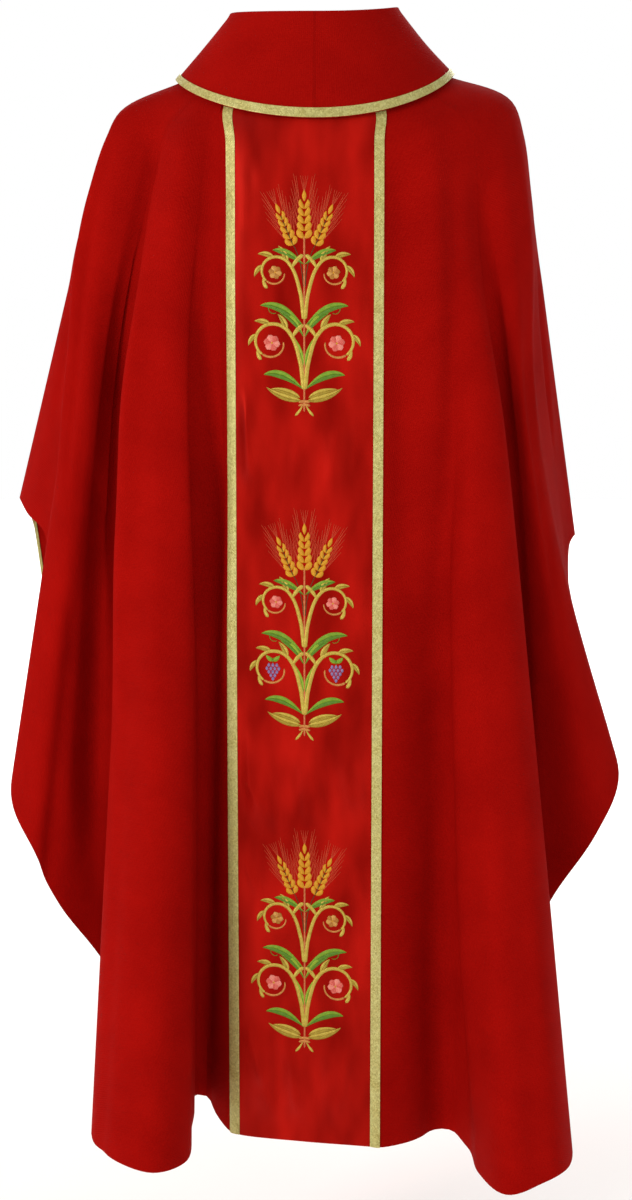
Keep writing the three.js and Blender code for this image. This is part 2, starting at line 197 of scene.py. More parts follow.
# Soft creases between the main folds, laid from one point of the cloth to another. line counts
# the fold lines from the centre back, negative to the left, width is the distance in which the
# crease falls to a third of its rise, and a negative rise is a trough.
CREASES = table(
    "name line reach line_end reach_end width rise",
    ("right trough by the galloon", 2.5, 0.07, 2.6, 0.56, 16, -6.0),
    ("right shoulder ridge", 4.2, 0.06, 4.0, 0.46, 18, 6.0),
    ("right shoulder hollow", 5.6, 0.1, 5.3, 0.5, 19, -5.0),
    ("right long ridge", 3.6, 0.36, 3.4, 0.86, 17, 3.6),
    ("right tube hollow", 3.7, 0.42, 3.6, 1.0, 26, -14.0),
    ("right tube ridge", 6.0, 0.38, 5.9, 0.985, 26, 11.0),
    ("right tube face", 7.8, 0.62, 7.6, 1.0, 18, -4.0),
    ("right valley deep", 11.4, 0.3, 11.4, 0.88, 28, -9.0),
    ("right valley head", 10.2, 0.11, 10.8, 0.5, 24, -14.0),
    ("right outer crease", 13.4, 0.3, 13.1, 0.82, 15, -3.6),
    ("right outer ridge", 14.3, 0.1, 14.0, 0.58, 14, 3.0),
    ("right wing crease", 16.6, 0.18, 16.2, 0.74, 15, -3.6),
    ("right hem ripple", 4.4, 0.72, 4.3, 1.0, 20, 3.4),
    ("left shoulder ridge", -5.4, 0.08, -5.8, 0.38, 18, 4.0),
    ("left slope head", -3.4, 0.02, -3.2, 0.6, 25, -18.0),
    ("left slope foot", -3.3, 0.4, -3.1, 1.0, 19, -9.0),
    ("left tube ridge", -6.4, 0.3, -6.2, 0.82, 15, 2.2),
    ("left tube crease", -7.1, 0.52, -7.3, 1.0, 13, -2.8),
    ("left valley head", -10.9, 0.02, -11.1, 0.5, 38, -28.0),
    ("left valley deep", -11.2, 0.34, -11.3, 0.98, 38, -20.0),
    ("left tube edge", -7.9, 0.04, -7.9, 0.66, 14, 9.0),
    ("left edge hollow", -9.9, 0.03, -10.1, 0.72, 24, -19.0),
    ("left wing line", -14.4, 0.1, -13.4, 0.6, 7, -3.4),
    ("left wing ridge", -15.1, 0.06, -14.1, 0.6, 11, 6.5),
    ("left wing hollow", -13.0, 0.2, -12.8, 0.66, 18, -4.0),
    ("left low crease", -12.3, 0.6, -12.5, 1.0, 22, -5.0),
    ("left wing crease", -16.6, 0.26, -16.4, 0.8, 13, -3.0),
    ("front right shoulder", 27.6, 0.08, 27.9, 0.44, 16, 3.2),
    ("front right hollow", 25.2, 0.16, 24.6, 0.62, 17, -4.6),
    ("front right crest", 22.3, 0.24, 22.0, 0.78, 14, 3.0),
    ("front right ripple", 29.6, 0.34, 29.4, 1.0, 17, -4.4),
    ("front middle ridge", 31.4, 0.3, 31.1, 0.88, 18, 3.0),
    ("front middle hollow", 32.6, 0.46, 32.5, 1.0, 17, -3.6),
    ("front left shoulder", 34.7, 0.09, 34.3, 0.5, 15, 3.0),
    ("front left tube", 35.6, 0.44, 35.4, 1.0, 14, -3.2),
    ("front left valley", 37.6, 0.22, 38.0, 0.8, 16, -4.4),
    ("front left crest", 40.6, 0.16, 40.9, 0.64, 14, 3.2),
)

# Puckers of the satin, in millimetres across from the orphrey's middle and along from the neck
# seam, where the stitching has drawn it in.
PUCKERS = table(
    "name across along across_end along_end width rise",
    ("broad head", -30, 70, -18, 190, 22, 1.2),
    ("broad first left", -72, 350, -54, 486, 17, 4.4),
    ("broad first right", 44, 350, 30, 496, 17, 2.6),
    ("broad second left", -66, 730, -40, 880, 18, 4.2),
    ("broad second middle", 0, 750, 8, 876, 14, 2.2),
    ("broad second right", 50, 740, 58, 860, 18, 4.0),
    ("broad hem left", -62, 1090, -36, 1226, 17, 4.0),
    ("broad hem middle", -14, 1100, -6, 1226, 15, 3.0),
    ("broad hem right", 34, 1090, 28, 1226, 17, 2.4),
    ("head left", -52, 96, -42, 190, 8, 0.9),
    ("head right", 46, 90, 58, 176, 9, -1.2),
    ("head middle", -8, 70, 6, 132, 9, 0.9),
    ("first flank left", -68, 214, -62, 300, 6, -1.2),
    ("first flank right", 66, 230, 60, 330, 7, 1.2),
    ("first gap edge", -70, 372, -56, 468, 8, 2.2),
    ("first gap left", -38, 392, -30, 478, 7, -1.5),
    ("first gap middle", -6, 402, -14, 486, 8, 1.7),
    ("first gap inner", 14, 398, 20, 470, 6, -1.4),
    ("first gap right", 38, 390, 30, 476, 8, 1.4),
    ("first gap far right", 64, 380, 58, 462, 7, -1.2),
    ("second flank left", -66, 520, -69, 640, 6, -1.4),
    ("second flank right", 67, 540, 62, 650, 7, 1.2),
    ("second gap edge", -70, 772, -52, 858, 8, 2.4),
    ("second gap left", -44, 786, -30, 870, 7, 1.5),
    ("second gap middle", -14, 782, -8, 866, 8, -1.5),
    ("second gap inner", 12, 784, 20, 862, 7, 1.2),
    ("second gap right", 46, 776, 58, 838, 9, 2.1),
    ("drawn in high", -74, 800, -46, 842, 5, 1.2),
    ("drawn in upper", -74, 846, -48, 896, 5, -1.2),
    ("drawn in lower", -74, 898, -52, 950, 5, 1.4),
    ("drawn in low", -72, 944, -54, 1000, 5, -1.0),
    ("third flank right", 68, 890, 61, 1010, 7, 1.2),
    ("hem left", -64, 1112, -46, 1180, 8, 2.1),
    ("hem inner left", -30, 1120, -34, 1215, 7, -1.7),
    ("hem middle", -18, 1124, -8, 1212, 7, 2.0),
    ("hem inner right", 18, 1130, 14, 1216, 8, -1.4),
    ("hem right", 48, 1122, 40, 1208, 9, 1.5),
)


def spline(knots, points, at, period=None):
    """Cubic pieces through points at knots, along the first axis: with t the share of a piece,
    (2t^3-3t^2+1) p0 + (t^3-2t^2+t) L m0 + (3t^2-2t^3) p1 + (t^3-t^2) L m1, where each slope m is
    that of the parabola through a point and its two neighbours. period closes the curve."""
    knots = np.asarray(knots, float)
    points = np.asarray(points, float)
    if period:
        ends = (knots[-1:] - period, knots[:2] + period)
        full = np.concatenate([points[-1:], points, points[:2]])
    else:
        ends = (2 * knots[:1] - knots[1:2], 2 * knots[-1:] - knots[-2:-1])
        full = np.concatenate([2 * points[:1] - points[1:2], points, 2 * points[-1:] - points[-2:-1]])
    steps = np.diff(np.concatenate([ends[0], knots, ends[1]]))
    shape = (-1,) + (1,) * (points.ndim - 1)
    steps = steps.reshape(shape)
    rates = np.diff(full, axis=0) / steps
    slopes = (rates[:-1] * steps[1:] + rates[1:] * steps[:-1]) / (steps[:-1] + steps[1:])
    inner_knots = np.concatenate([knots, ends[1][:1]]) if period else knots
    inner = full[1:-1]
    at = np.asarray(at, float)
    i = np.clip(np.searchsorted(inner_knots, at, side="right") - 1, 0, len(inner_knots) - 2)
    length = (inner_knots[i + 1] - inner_knots[i]).reshape(shape)
    t = (at - inner_knots[i]).reshape(shape) / length
    return (
        (2 * t**3 - 3 * t**2 + 1) * inner[i]
        + (t**3 - 2 * t**2 + t) * length * slopes[i]
        + (3 * t**2 - 2 * t**3) * inner[i + 1]
        + (t**3 - t**2) * length * slopes[i + 1]
    )


def section_points(section, turns):
    """Points of a squared ellipse: x = w |sin a|^(2/p), y = -d |cos a|^(2/p), each with its sign,
    and a height that goes from the side's to the end's with |cos a|^1.4."""
    side = np.sin(np.radians(turns))
    to_back = np.cos(np.radians(turns))
    width = np.where(side >= 0, section["right"], section["left"])
    depth = np.where(to_back >= 0, section["back"], section["front"])
    up_side = np.where(side >= 0, section["up_right"], section["up_left"])
    up_end = np.where(to_back >= 0, section["up_back"], section["up_front"])
    bend = 2 / section["power"]
    x = np.sign(side) * width * np.abs(side) ** bend
    y = -np.sign(to_back) * depth * np.abs(to_back) ** bend
    z = up_side + (up_end - up_side) * np.abs(to_back) ** 1.4
    return np.stack([x, y, z], axis=-1)


def turn_across(section, across):
    """The turn, in degrees, at which a section's back half is this far across."""
    width = section["right"] if across >= 0 else section["left"]
    turn = np.degrees(np.arcsin((abs(across) / width) ** (section["power"] / 2)))
    return turn if across >= 0 else -turn


def fold_turns(section):
    """Turns of all fold lines on a section, those between the orphrey and the side seams squeezed
    in proportion, so that the orphrey keeps its width on every section."""

    def band_turn(on, share):
        return turn_across(on, (BAND_CENTRE + share * BAND_HALF) * on["band"])

    def squeeze(turn, side):
        start = abs(band_turn(SECTIONS[-1], side))
        here = abs(band_turn(section, side))
        return 90 + (turn - 90) * (90 - here) / (90 - start)

    turns = []
    for fold in FOLDS:
        turn = fold["turn"]
        if fold["band"] is not None:
            turn = band_turn(section, fold["band"])
        elif turn <= 90:
            turn = squeeze(turn, 1)
        elif turn >= 270:
            turn = -squeeze(360 - turn, -1)
        turns.append(turn)
    return np.array(turns)


def fold_net():
    """The fold lines' points: the sections, two hanging rows and the hem. A hanging row's x and y
    have gone share^flare of the way to the hem, and its z has gone share of it."""
    rows = [section_points(section, fold_turns(section)) for section in SECTIONS]
    hem = np.array([[fold["across"], fold["deep"], fold["up"]] for fold in FOLDS], float)
    flare = np.array([fold["flare"] for fold in FOLDS])[:, None]
    arm, arm_reach = rows[-1], SECTIONS[-1]["reach"]
    reaches = [section["reach"] for section in SECTIONS]
    for share in HANGING_ROWS:
        row = arm + (hem - arm) * share
        row[:, :2] = arm[:, :2] + (hem - arm)[:, :2] * share**flare
        rows.append(row)
        reaches.append(arm_reach + (1 - arm_reach) * share)
    return np.array([*reaches, 1.0]), np.array([*rows, hem])


NET_REACHES, NET = fold_net()
# Each fold line's place is the sum of the steps along the hem before it, to the power 0.6 so that
# the spline round the garment doesn't swing out beside the short ones.
HEM_STEPS = np.linalg.norm(np.roll(NET[-1], -1, 0) - NET[-1], axis=1) ** 0.6
PLACES = running(HEM_STEPS)[:-1]
ROUND = HEM_STEPS.sum()


def place_of(name):
    """The place round the garment of a named fold line, negative on the left half of the back."""
    names = [fold["name"] for fold in FOLDS]
    on_left_back = names.index(name) >= names.index("left seam")
    return PLACES[names.index(name)] - ROUND * on_left_back


def place_of_line(line):
    """The place of a fold line counted from the centre back, also between two lines."""
    count = len(FOLDS)
    places = np.concatenate([PLACES - ROUND, PLACES, [ROUND]])
    return np.interp(line, np.arange(-count, count + 1), places)


def hang(places, reaches):
    """Middle of the smooth cloth, rows by columns: a spline down each fold line, and then one
    round the garment through them. In millimetres."""
    down = spline(NET_REACHES, NET, reaches)
    return np.swapaxes(spline(PLACES, np.swapaxes(down, 0, 1), np.mod(places, ROUND), ROUND), 0, 1)


def bilinear(grid, rows, columns):
    """Values of a grid at fractional rows and columns, from the four samples round each."""
    rows, columns = np.broadcast_arrays(rows, columns)
    r = np.clip(np.floor(rows).astype(int), 0, grid.shape[0] - 2)
    c = np.clip(np.floor(columns).astype(int), 0, grid.shape[1] - 2)
    shape = np.shape(rows) + (1,) * (grid.ndim - 2)
    u = (rows - r).reshape(shape)
    v = (columns - c).reshape(shape)
    top = grid[r, c] * (1 - v) + grid[r, c + 1] * v
    low = grid[r + 1, c] * (1 - v) + grid[r + 1, c + 1] * v
    return top * (1 - u) + low * u


def girth_map(rows=121, columns=2400):
    """Millimetres round the garment from its centre back, at every reach, on a grid of places."""
    places = np.linspace(-ROUND, ROUND, columns)
    reaches = np.linspace(0, 1, rows)
    lengths = running(step_lengths(hang(places, reaches), 1), 1)
    middle = lengths[:, columns // 2 - 1 : columns // 2 + 1].mean(axis=1, keepdims=True)
    return lengths - middle


GIRTH = girth_map()


def girth(places, reaches):
    """Millimetres round from the centre back, of points given by place and reach."""
    rows = np.asarray(reaches) * (GIRTH.shape[0] - 1)
    columns = (np.asarray(places) + ROUND) / (2 * ROUND) * (GIRTH.shape[1] - 1)
    return bilinear(GIRTH, rows, columns)


def fade(share):
    """0 at both ends of a crease and 1 along its middle: a smooth step up and one down."""
    return smooth_step(share / CREASE_END) * smooth_step((1 - share) / CREASE_END)


def crease_height(places, reaches):
    """Sum of the creases: rise exp(-(d / width)^2), d the distance in millimetres round the
    garment from the crease's line. One that runs to the hem or the neck doesn't fade there."""
    place, reach = np.broadcast_arrays(places[None, :], reaches[:, None])
    here = girth(place, reach)
    height = np.zeros(place.shape)
    for crease in CREASES:
        start, end = crease["reach"], crease["reach_end"]
        share = (reach - start) / (end - start)
        line = crease["line"] + (crease["line_end"] - crease["line"]) * share
        distance = (here - girth(place_of_line(line), reach)) / crease["width"]
        held = np.where((end >= 1) & (share > 0.5), 0.5, share)
        height += crease["rise"] * np.exp(-(distance**2)) * fade(np.clip(held, 0, 1))
    return height


def pucker_height(across, along):
    """Sum of the satin's puckers, each a soft ridge along a straight line on the flat band. The sum
    p is kept above the panel as (p + sqrt(p^2 + soft^2)) / 2 and dies away to the galloons."""
    height = np.zeros(np.broadcast(across, along).shape)
    for pucker in PUCKERS:
        start = np.array([pucker["across"], pucker["along"]], float)
        way = np.array([pucker["across_end"], pucker["along_end"]], float) - start
        length = np.hypot(*way)
        way /= length
        share = ((across - start[0]) * way[0] + (along - start[1]) * way[1]) / length
        off = ((across - start[0]) * way[1] - (along - start[1]) * way[0]) / pucker["width"]
        height += pucker["rise"] * np.exp(-(off**2)) * fade(np.clip(share, 0, 1))
    edge = smooth_step((BAND_HALF * INNER - np.abs(across)) / PUCKER_EDGE)
    return (height + np.hypot(height, PUCKER_SOFT)) / 2 * edge


def cloth_surface(places, reaches):
    """Middle of the cloth with its creases, and its outward normals: the cross product of the
    way down and the way round. In millimetres, rows by columns."""
    round_nudge, down_nudge = 0.02, 0.002
    before, after = hang(places - round_nudge, reaches), hang(places + round_nudge, reaches)
    above = hang(places, np.clip(reaches - down_nudge, 0, 1))
    below = hang(places, np.clip(reaches + down_nudge, 0, 1))
    normals = unit(np.cross(below - above, after - before))
    points = (before + after) / 2
    return points + normals * crease_height(places, reaches)[:, :, None], normals


# ---- meshes ----

# Rows and columns of the grids whose density isn't a setting.
COLLAR_GRID = (73, 240)
GALLOON_GRID = (760, 15)
EDGE_COLUMNS = 720  # round the collar's edge
TAPE_GRID = (7, 90)
ORPHREY_GRID = (420, 81)
STITCHED_GRID = (620, 81)  # of the orphrey's face under the embroidery
SHARP_EDGE = 50  # degrees between two quads above which the edge between them is sharp
SHARP_STITCH = 80


def wall_faces(rows, columns, ring):
    """Quads of two grids of points, outer and then inner, joined along their borders."""
    index = np.arange(2 * rows * columns).reshape(2, rows, columns)
    if ring:
        index = np.concatenate([index, index[:, :, :1]], axis=2)
    outer, inner = index
    sides = [
        (outer[:-1, :-1], outer[1:, :-1], outer[1:, 1:], outer[:-1, 1:]),
        (inner[:-1, :-1], inner[:-1, 1:], inner[1:, 1:], inner[1:, :-1]),
        (outer[0, :-1], outer[0, 1:], inner[0, 1:], inner[0, :-1]),
        (outer[-1, 1:], outer[-1, :-1], inner[-1, :-1], inner[-1, 1:]),
    ]
    if not ring:
        sides += [
            (outer[1:, 0], outer[:-1, 0], inner[:-1, 0], inner[1:, 0]),
            (outer[:-1, -1], outer[1:, -1], inner[1:, -1], inner[:-1, -1]),
        ]
    return np.concatenate([np.stack([part.ravel() for part in side], axis=1) for side in sides])


def make_mesh(name, points, faces, uv, uv_name, sharp=SHARP_EDGE):
    """A smooth mesh object of quads, with a UV map, from points in millimetres."""
    mesh = bpy.data.meshes.new(name)
    mesh.vertices.add(len(points))
    mesh.vertices.foreach_set("co", (points * MM).astype(np.float32).ravel())
    mesh.loops.add(faces.size)
    mesh.loops.foreach_set("vertex_index", faces.astype(np.int32).ravel())
    mesh.polygons.add(len(faces))
    mesh.polygons.foreach_set("loop_start", np.arange(0, faces.size, 4, dtype=np.int32))
    mesh.update(calc_edges=True)
    layer = mesh.uv_layers.new(name=uv_name)
    layer.data.foreach_set("uv", (uv * MM)[faces.ravel()].astype(np.float32).ravel())
    mesh.polygons.foreach_set("use_smooth", np.ones(len(faces), bool))
    mesh.set_sharp_from_angle(angle=radians(sharp))
    mesh.validate()
    piece = bpy.data.objects.new(name, mesh)
    bpy.context.scene.collection.objects.link(piece)
    return piece


def make_wall(name, middle, normals, inside, outside, uv, uv_name, ring=False):
    """A closed wall: the middle grid moved along its normals to both faces and joined. inside and
    outside are distances, or grids of them."""
    rows, columns = middle.shape[:2]
    layers = []
    for offset in (outside, inside):
        offset = np.broadcast_to(np.asarray(offset, float), (rows, columns))
        layers.append((middle + normals * offset[:, :, None]).reshape(-1, 3))
    points = np.concatenate(layers)
    flat = uv.reshape(-1, 2)
    faces = wall_faces(rows, columns, ring)
    return make_mesh(name, points, faces, np.concatenate([flat, flat]), uv_name)


def trim_sides(points):
    """Draws a grid's first and last columns in by the seam's gap, towards their neighbours."""
    for edge, inner in ((0, 1), (-1, -2)):
        points[:, edge] += unit(points[:, inner] - points[:, edge]) * SEAM_GAP


def flat_cut(points):
    """Where each point lay on the flat cut, in millimetres: polar, R the length down its column
    and the angle of a column the sum of its steps across divided by R."""
    radius = NECK_RADIUS + running(step_lengths(points))
    middle = (radius[:, 1:] + radius[:, :-1]) / 2
    turns = running(step_lengths(points, 1).sum(axis=0) / middle.sum(axis=0))
    turns -= turns[-1] / 2
    return np.stack([radius * np.sin(turns), -radius * np.cos(turns)], axis=-1)


def strip_cut(points):
    """UV of a strip, in millimetres: across and along, by the lengths of its rows and columns."""
    across = running(step_lengths(points, 1), 1)
    down = running(step_lengths(points).mean(axis=1))
    middle = across.mean(axis=1, keepdims=True)
    return np.stack([across - middle, 0 * across - down[:, None]], axis=-1)


def settle(piece, material, node=None):
    """Gives a piece its material and its body, and hides the solid it stands for, when one is named."""
    piece.data.materials.append(material)
    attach(piece, BODY)
    if node:
        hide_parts(node)


# ---- materials ----

# A Mix node of colours has its share in socket 0, its colours in 6 and 7 and its result in output 2.


def linear(code):
    """A colour in sRGB hex as linear red, green and blue."""
    parts = np.array([int(code[i : i + 2], 16) for i in (1, 3, 5)]) / 255
    return tuple(np.where(parts <= 0.04045, parts / 12.92, ((parts + 0.055) / 1.055) ** 2.4))


def add(tree, kind, inputs, output=0, **settings):
    """Adds a shader node with its settings, sets or links its inputs and returns one output."""
    node = tree.nodes.new("ShaderNode" + kind)
    for name, value in settings.items():
        setattr(node, name, value)
    for name, value in inputs.items():
        socket = node.inputs[name]
        if isinstance(value, bpy.types.NodeSocket):
            tree.links.new(value, socket)
        else:
            socket.default_value = (*value[:3], 1) if socket.type == "RGBA" else value
    return node.outputs[output] if node.outputs else None


def new_material(name, shade):
    """A node material whose shader is made by a function of its tree."""
    material = bpy.data.materials.new(name)
    material.use_nodes = True
    tree = material.node_tree
    tree.nodes.clear()
    add(tree, "OutputMaterial", {"Surface": shade(tree)})
    return material


def band_scale(pitch):
    """Scale of a Wave texture whose bands are this many millimetres apart."""
    return 2 * pi / 20 / (pitch * MM)


def lump_scale(size):
    """Scale of a noise or cell texture whose lumps are this many millimetres across."""
    return 1 / (size * MM)


def red_cloth_material(look):
    """Dense wool-look polyester, woven, fulled and pressed: matt, with a short nap that lightens
    it at a glance, a fine plain weave and soft mottling from pressing."""

    def shade(tree):
        cut = add(tree, "UVMap", {}, uv_map="cut")
        # Real threads are 0.4 mm apart, too fine to show, so the weave is drawn coarser.
        scale = band_scale(look.weave_pitch)
        threads = {"Vector": cut, "Scale": scale, "Distortion": 1.2, "Detail": 1.0}
        warp = add(tree, "TexWave", threads, "Fac", bands_direction="X")
        weft = add(tree, "TexWave", threads, "Fac", bands_direction="Y")
        tips = {"Vector": cut, "Scale": lump_scale(1.923), "Detail": 3.0, "Roughness": 0.6}
        nap = add(tree, "TexNoise", tips, "Fac")
        mottle = {"Vector": cut, "Scale": lump_scale(90.91), "Detail": 5.0, "Roughness": 0.65}
        press = add(tree, "TexNoise", mottle, "Fac")
        weave = add(tree, "Math", {0: warp, 1: weft}, operation="ADD")
        height = add(tree, "Math", {0: weave, 1: nap}, operation="ADD")
        broad = add(tree, "MapRange", {"Value": press, "From Min": 0.35, "From Max": 0.65})
        ground = add(tree, "Mix", {0: broad, 6: look.shade, 7: look.red}, 2, data_type="RGBA")
        grain = add(tree, "MapRange", {"Value": nap, "From Min": 0.2, "From Max": 0.8})
        pile = add(tree, "Mix", {0: grain, 6: look.shade, 7: look.glow}, 2, data_type="RGBA")
        finish = {
            "Base Color": add(tree, "Mix", {0: 0.35, 6: ground, 7: pile}, 2, data_type="RGBA"),
            "Roughness": 0.9,
            "Specular IOR Level": 0.05,
            "Specular Tint": linear("#ff2c18"),
            "Sheen Weight": 0.07,
            "Sheen Roughness": 0.5,
            "Sheen Tint": linear("#e01404"),
            "Normal": add(tree, "Bump", {"Height": height, "Strength": 0.5, "Distance": 0.3 * MM}),
        }
        return add(tree, "BsdfPrincipled", finish)

    return new_material("wool-look polyester, woven and pressed", shade)


def red_satin_material(look):
    """Polyester satin, warp-faced and calendered: a soft gloss in streaks along the warp, over a
    brighter red than the cloth beside it. Its colour also goes between a lit red and a darker one in
    broad random patches: painted sheen and painted shade."""

    def shade(tree):
        cut = add(tree, "UVMap", {}, uv_map="cut")
        # The warp's floats are 0.1 mm wide; the streaks are drawn where they show, 4 to 40 mm wide.
        narrow = {"Vector": cut, "Scale": (lump_scale(3.846), lump_scale(83.33), 1)}
        streaks = {"Vector": add(tree, "Mapping", narrow), "Scale": 1.0, "Detail": 3.0}
        fine = add(tree, "TexNoise", streaks, "Fac")
        wide = {"Vector": cut, "Scale": (lump_scale(41.67), lump_scale(111.1), 1)}
        waves = {"Vector": add(tree, "Mapping", wide), "Scale": 1.0, "Detail": 2.0}
        broad = add(tree, "TexNoise", waves, "Fac")
        height = add(tree, "Math", {0: fine, 1: 0.08, 2: broad}, operation="MULTIPLY_ADD")
        # Painted sheen and shade: broad random patches go between the lit satin red and its darker
        # copy.
        share = add(tree, "MapRange", {"Value": broad, "From Min": 0.32, "From Max": 0.68})
        colours = {0: share, 6: look.satin_painted_shade, 7: look.satin}
        finish = {
            "Base Color": add(tree, "Mix", colours, 2, data_type="RGBA"),
            "Roughness": 0.36,
            "Specular IOR Level": 0.6,
            "Specular Tint": linear("#ff2c18"),
            "Sheen Weight": 0.06,
            "Sheen Tint": linear("#ff2410"),
            "Normal": add(tree, "Bump", {"Height": height, "Strength": 0.5, "Distance": 2.2 * MM}),
        }
        return add(tree, "BsdfPrincipled", finish)

    return new_material("polyester satin, warp-faced", shade)


def galloon_material(look):
    """Lurex galloon, metal-coated yarn woven in a small lattice: olive gold with painted glints. Small
    random facets go between a pale gold, painted glint, and a dark one, painted shade, as if yarns
    turned to and from the light, and broad random lumps go towards the pale gold."""

    def shade(tree):
        cut = add(tree, "UVMap", {}, uv_map="strip")
        facets = {"Vector": cut, "Scale": lump_scale(1.613), "Randomness": 1.0}
        glint = add(tree, "TexVoronoi", facets, "Color")
        lumps = {"Vector": cut, "Scale": lump_scale(16.67), "Detail": 3.0}
        waver = add(tree, "TexNoise", lumps, "Fac")
        turned = add(tree, "Mapping", {"Vector": cut, "Rotation": (0, 0, radians(45))})
        # Real yarns are 0.5 mm apart, and the lattice is drawn coarser so that it shows.
        lattice = {"Vector": turned, "Scale": band_scale(2.2), "Distortion": 0.5}
        one_way = add(tree, "TexWave", lattice, "Fac", bands_direction="X")
        other_way = add(tree, "TexWave", lattice, "Fac", bands_direction="Y")
        yarns = add(tree, "Math", {0: one_way, 1: other_way}, operation="MAXIMUM")
        # Painted glints: random facets go between the dark gold, painted shade, and the pale, painted
        # glint.
        bright = add(tree, "MapRange", {"Value": glint, "From Min": 0.1, "From Max": 0.9})
        yarn = {0: bright, 6: look.gold_painted_shade, 7: look.gold_glint_and_pale_tone}
        base = add(tree, "Mix", yarn, 2, data_type="RGBA")
        # Broad random lumps of the yarn's gold go towards the same pale gold.
        share = add(tree, "MapRange", {"Value": waver, "From Min": 0.3, "From Max": 0.7})
        paler_lumps = {0: share, 6: look.gold, 7: look.gold_glint_and_pale_tone}
        tone = add(tree, "Mix", paler_lumps, 2, data_type="RGBA")
        height = add(tree, "Math", {0: yarns, 1: bright}, operation="ADD")
        finish = {
            "Base Color": add(tree, "Mix", {0: 0.5, 6: base, 7: tone}, 2, data_type="RGBA"),
            "Metallic": 0.35,
            "Roughness": 0.42,
            "Normal": add(tree, "Bump", {"Height": height, "Strength": 0.6, "Distance": 0.3 * MM}),
        }
        return add(tree, "BsdfPrincipled", finish)

    return new_material("metallic galloon, lattice woven", shade)


def thread_material(thread):
    """Embroidery thread in satin stitch: close parallel threads across each stroke, glossy along
    their length. Between them the colour goes to the thread's darker tone, painted shade in the
    grooves, and it varies in random lumps."""

    def shade(tree):
        cut = add(tree, "UVMap", {}, uv_map="stroke")
        # Real threads are 0.4 mm wide, and are drawn twice as wide so that they show.
        turned = add(tree, "Mapping", {"Vector": cut, "Rotation": (0, 0, radians(24))})
        stitches = {"Vector": turned, "Scale": band_scale(0.9), "Distortion": 0.8, "Detail": 1.0}
        threads = add(tree, "TexWave", stitches, "Fac", bands_direction="X")
        lumps = {"Vector": cut, "Scale": lump_scale(5.882), "Detail": 2.0}
        waver = add(tree, "TexNoise", lumps, "Fac")
        # Painted shade: the colour goes to the darker tone in the grooves between stitches.
        mixed = add(tree, "Math", {0: threads, 1: waver}, operation="MULTIPLY")
        share = add(tree, "MapRange", {"Value": mixed, "From Min": 0.1, "From Max": 0.55})
        colours = {0: share, 6: linear(thread["dark"]), 7: linear(thread["light"])}
        finish = {
            "Base Color": add(tree, "Mix", colours, 2, data_type="RGBA"),
            "Metallic": thread["metallic"],
            "Roughness": 0.42,
            "Specular IOR Level": 0.25,
            "Normal": add(tree, "Bump", {"Height": threads, "Strength": 0.45, "Distance": 0.2 * MM}),
        }
        return add(tree, "BsdfPrincipled", finish)

    return new_material(thread["title"], shade)


# ---- embroidery ----

# Three motifs stand on the orphrey's middle line: a tied bouquet of scrolls and leaves under three
# ears of wheat. foot is how far below the neck seam each one stands along the cloth, and all sizes
# in a motif are from its foot, across and up.
MOTIFS = table(
    "name foot scale low high",
    ("upper", 386, 0.95, "pink rosette", "peach rosette"),
    ("middle", 757, 0.95, "grapes", "pink rosette"),
    ("lower", 1128, 0.95, "pink rosette", "peach rosette"),
)

# Scrolls that branch from the stalk: where each leaves it, the middle and radius of its curl, the
# radius of the open eye, how far it turns in degrees and how thick it is.
SCROLLS = table(
    "name root across up radius eye sweep width",
    ("low", 30, 38, 84, 24, 13.5, 335, 4.6),
    ("high", 112, 34, 166, 19.5, 11, 325, 4.0),
)

# Leaves on the outside of each scroll: the angle round its curl where one grows, how far it is
# turned from the way the curl runs, its own bend, length and width.
SCROLL_LEAVES = table(
    "angle turn bend length width",
    (168, 34, -40, 22, 5.0),
    (138, 26, 34, 21, 6.6),
    (84, 34, 44, 19, 6.0),
    (28, 30, 50, 17, 5.2),
    (-24, 28, 56, 14, 4.4),
)

# Strokes that start at a point and bend as they go: heading in degrees from straight up towards
# the side, bend in all, late above 1 for a stroke that bends towards its end.
BOUQUET = table(
    "threads x y heading length bend late width shape",
    # gold leaves that spread above the tie, and the stalks' cut ends below it
    (("gold", "shade"), 4, 17, 84, 44, -34, 1.2, 7.4, "blade"),
    (("gold", "shade"), 5, 20, 60, 36, 30, 1.0, 7.0, "blade"),
    ("gold", 2, 11, 152, 15, -18, 1.0, 3.0, "petal"),
    # green leaves between the scrolls, with a tendril over each pair
    (("green", "moss"), 1, 30, 50, 52, 66, 1.8, 8.4, "sword"),
    (("leaf", "green"), 1, 58, 10, 40, 26, 1.0, 5.4, "blade"),
    (("green", "moss"), 1, 104, 46, 58, 62, 1.8, 8.6, "sword"),
    (("leaf", "moss"), 1, 92, 26, 40, 58, 1.6, 6.4, "sword"),
    (("green", "moss"), 1, 176, 52, 40, 46, 1.8, 7.0, "sword"),
    ("moss", 26, 122, 20, 36, 300, 1.3, 1.1, "thread"),
    # stalks of the two side ears
    ("olive", 1, 150, 4, 50, 26, 1.4, 1.2, "thread"),
)

CURL_START = 150  # degrees round a scroll's curl where its branch arrives
GOLD_STEPS = 16  # of the 26 steps round a curl, before its thread changes to rose gold
NARROW_LEAF = 5.1  # width under which a scroll's leaf is one petal in gold thread
GRAPES_ACROSS = (3, 4, 3, 2, 1)  # how many grapes lie in each row, from the top
GRAPE = 4.8  # pitch of the grapes
AWN = 27  # length of the awns beside a grain
TIP_AWN = 20  # length of those on the tip
GRAIN_STAGES = ((0.04, 0.0, 1.6), (0.44, 0.36, 5.9), (0.74, 0.8, 5.8), (0.74, 1.3, 1.6))


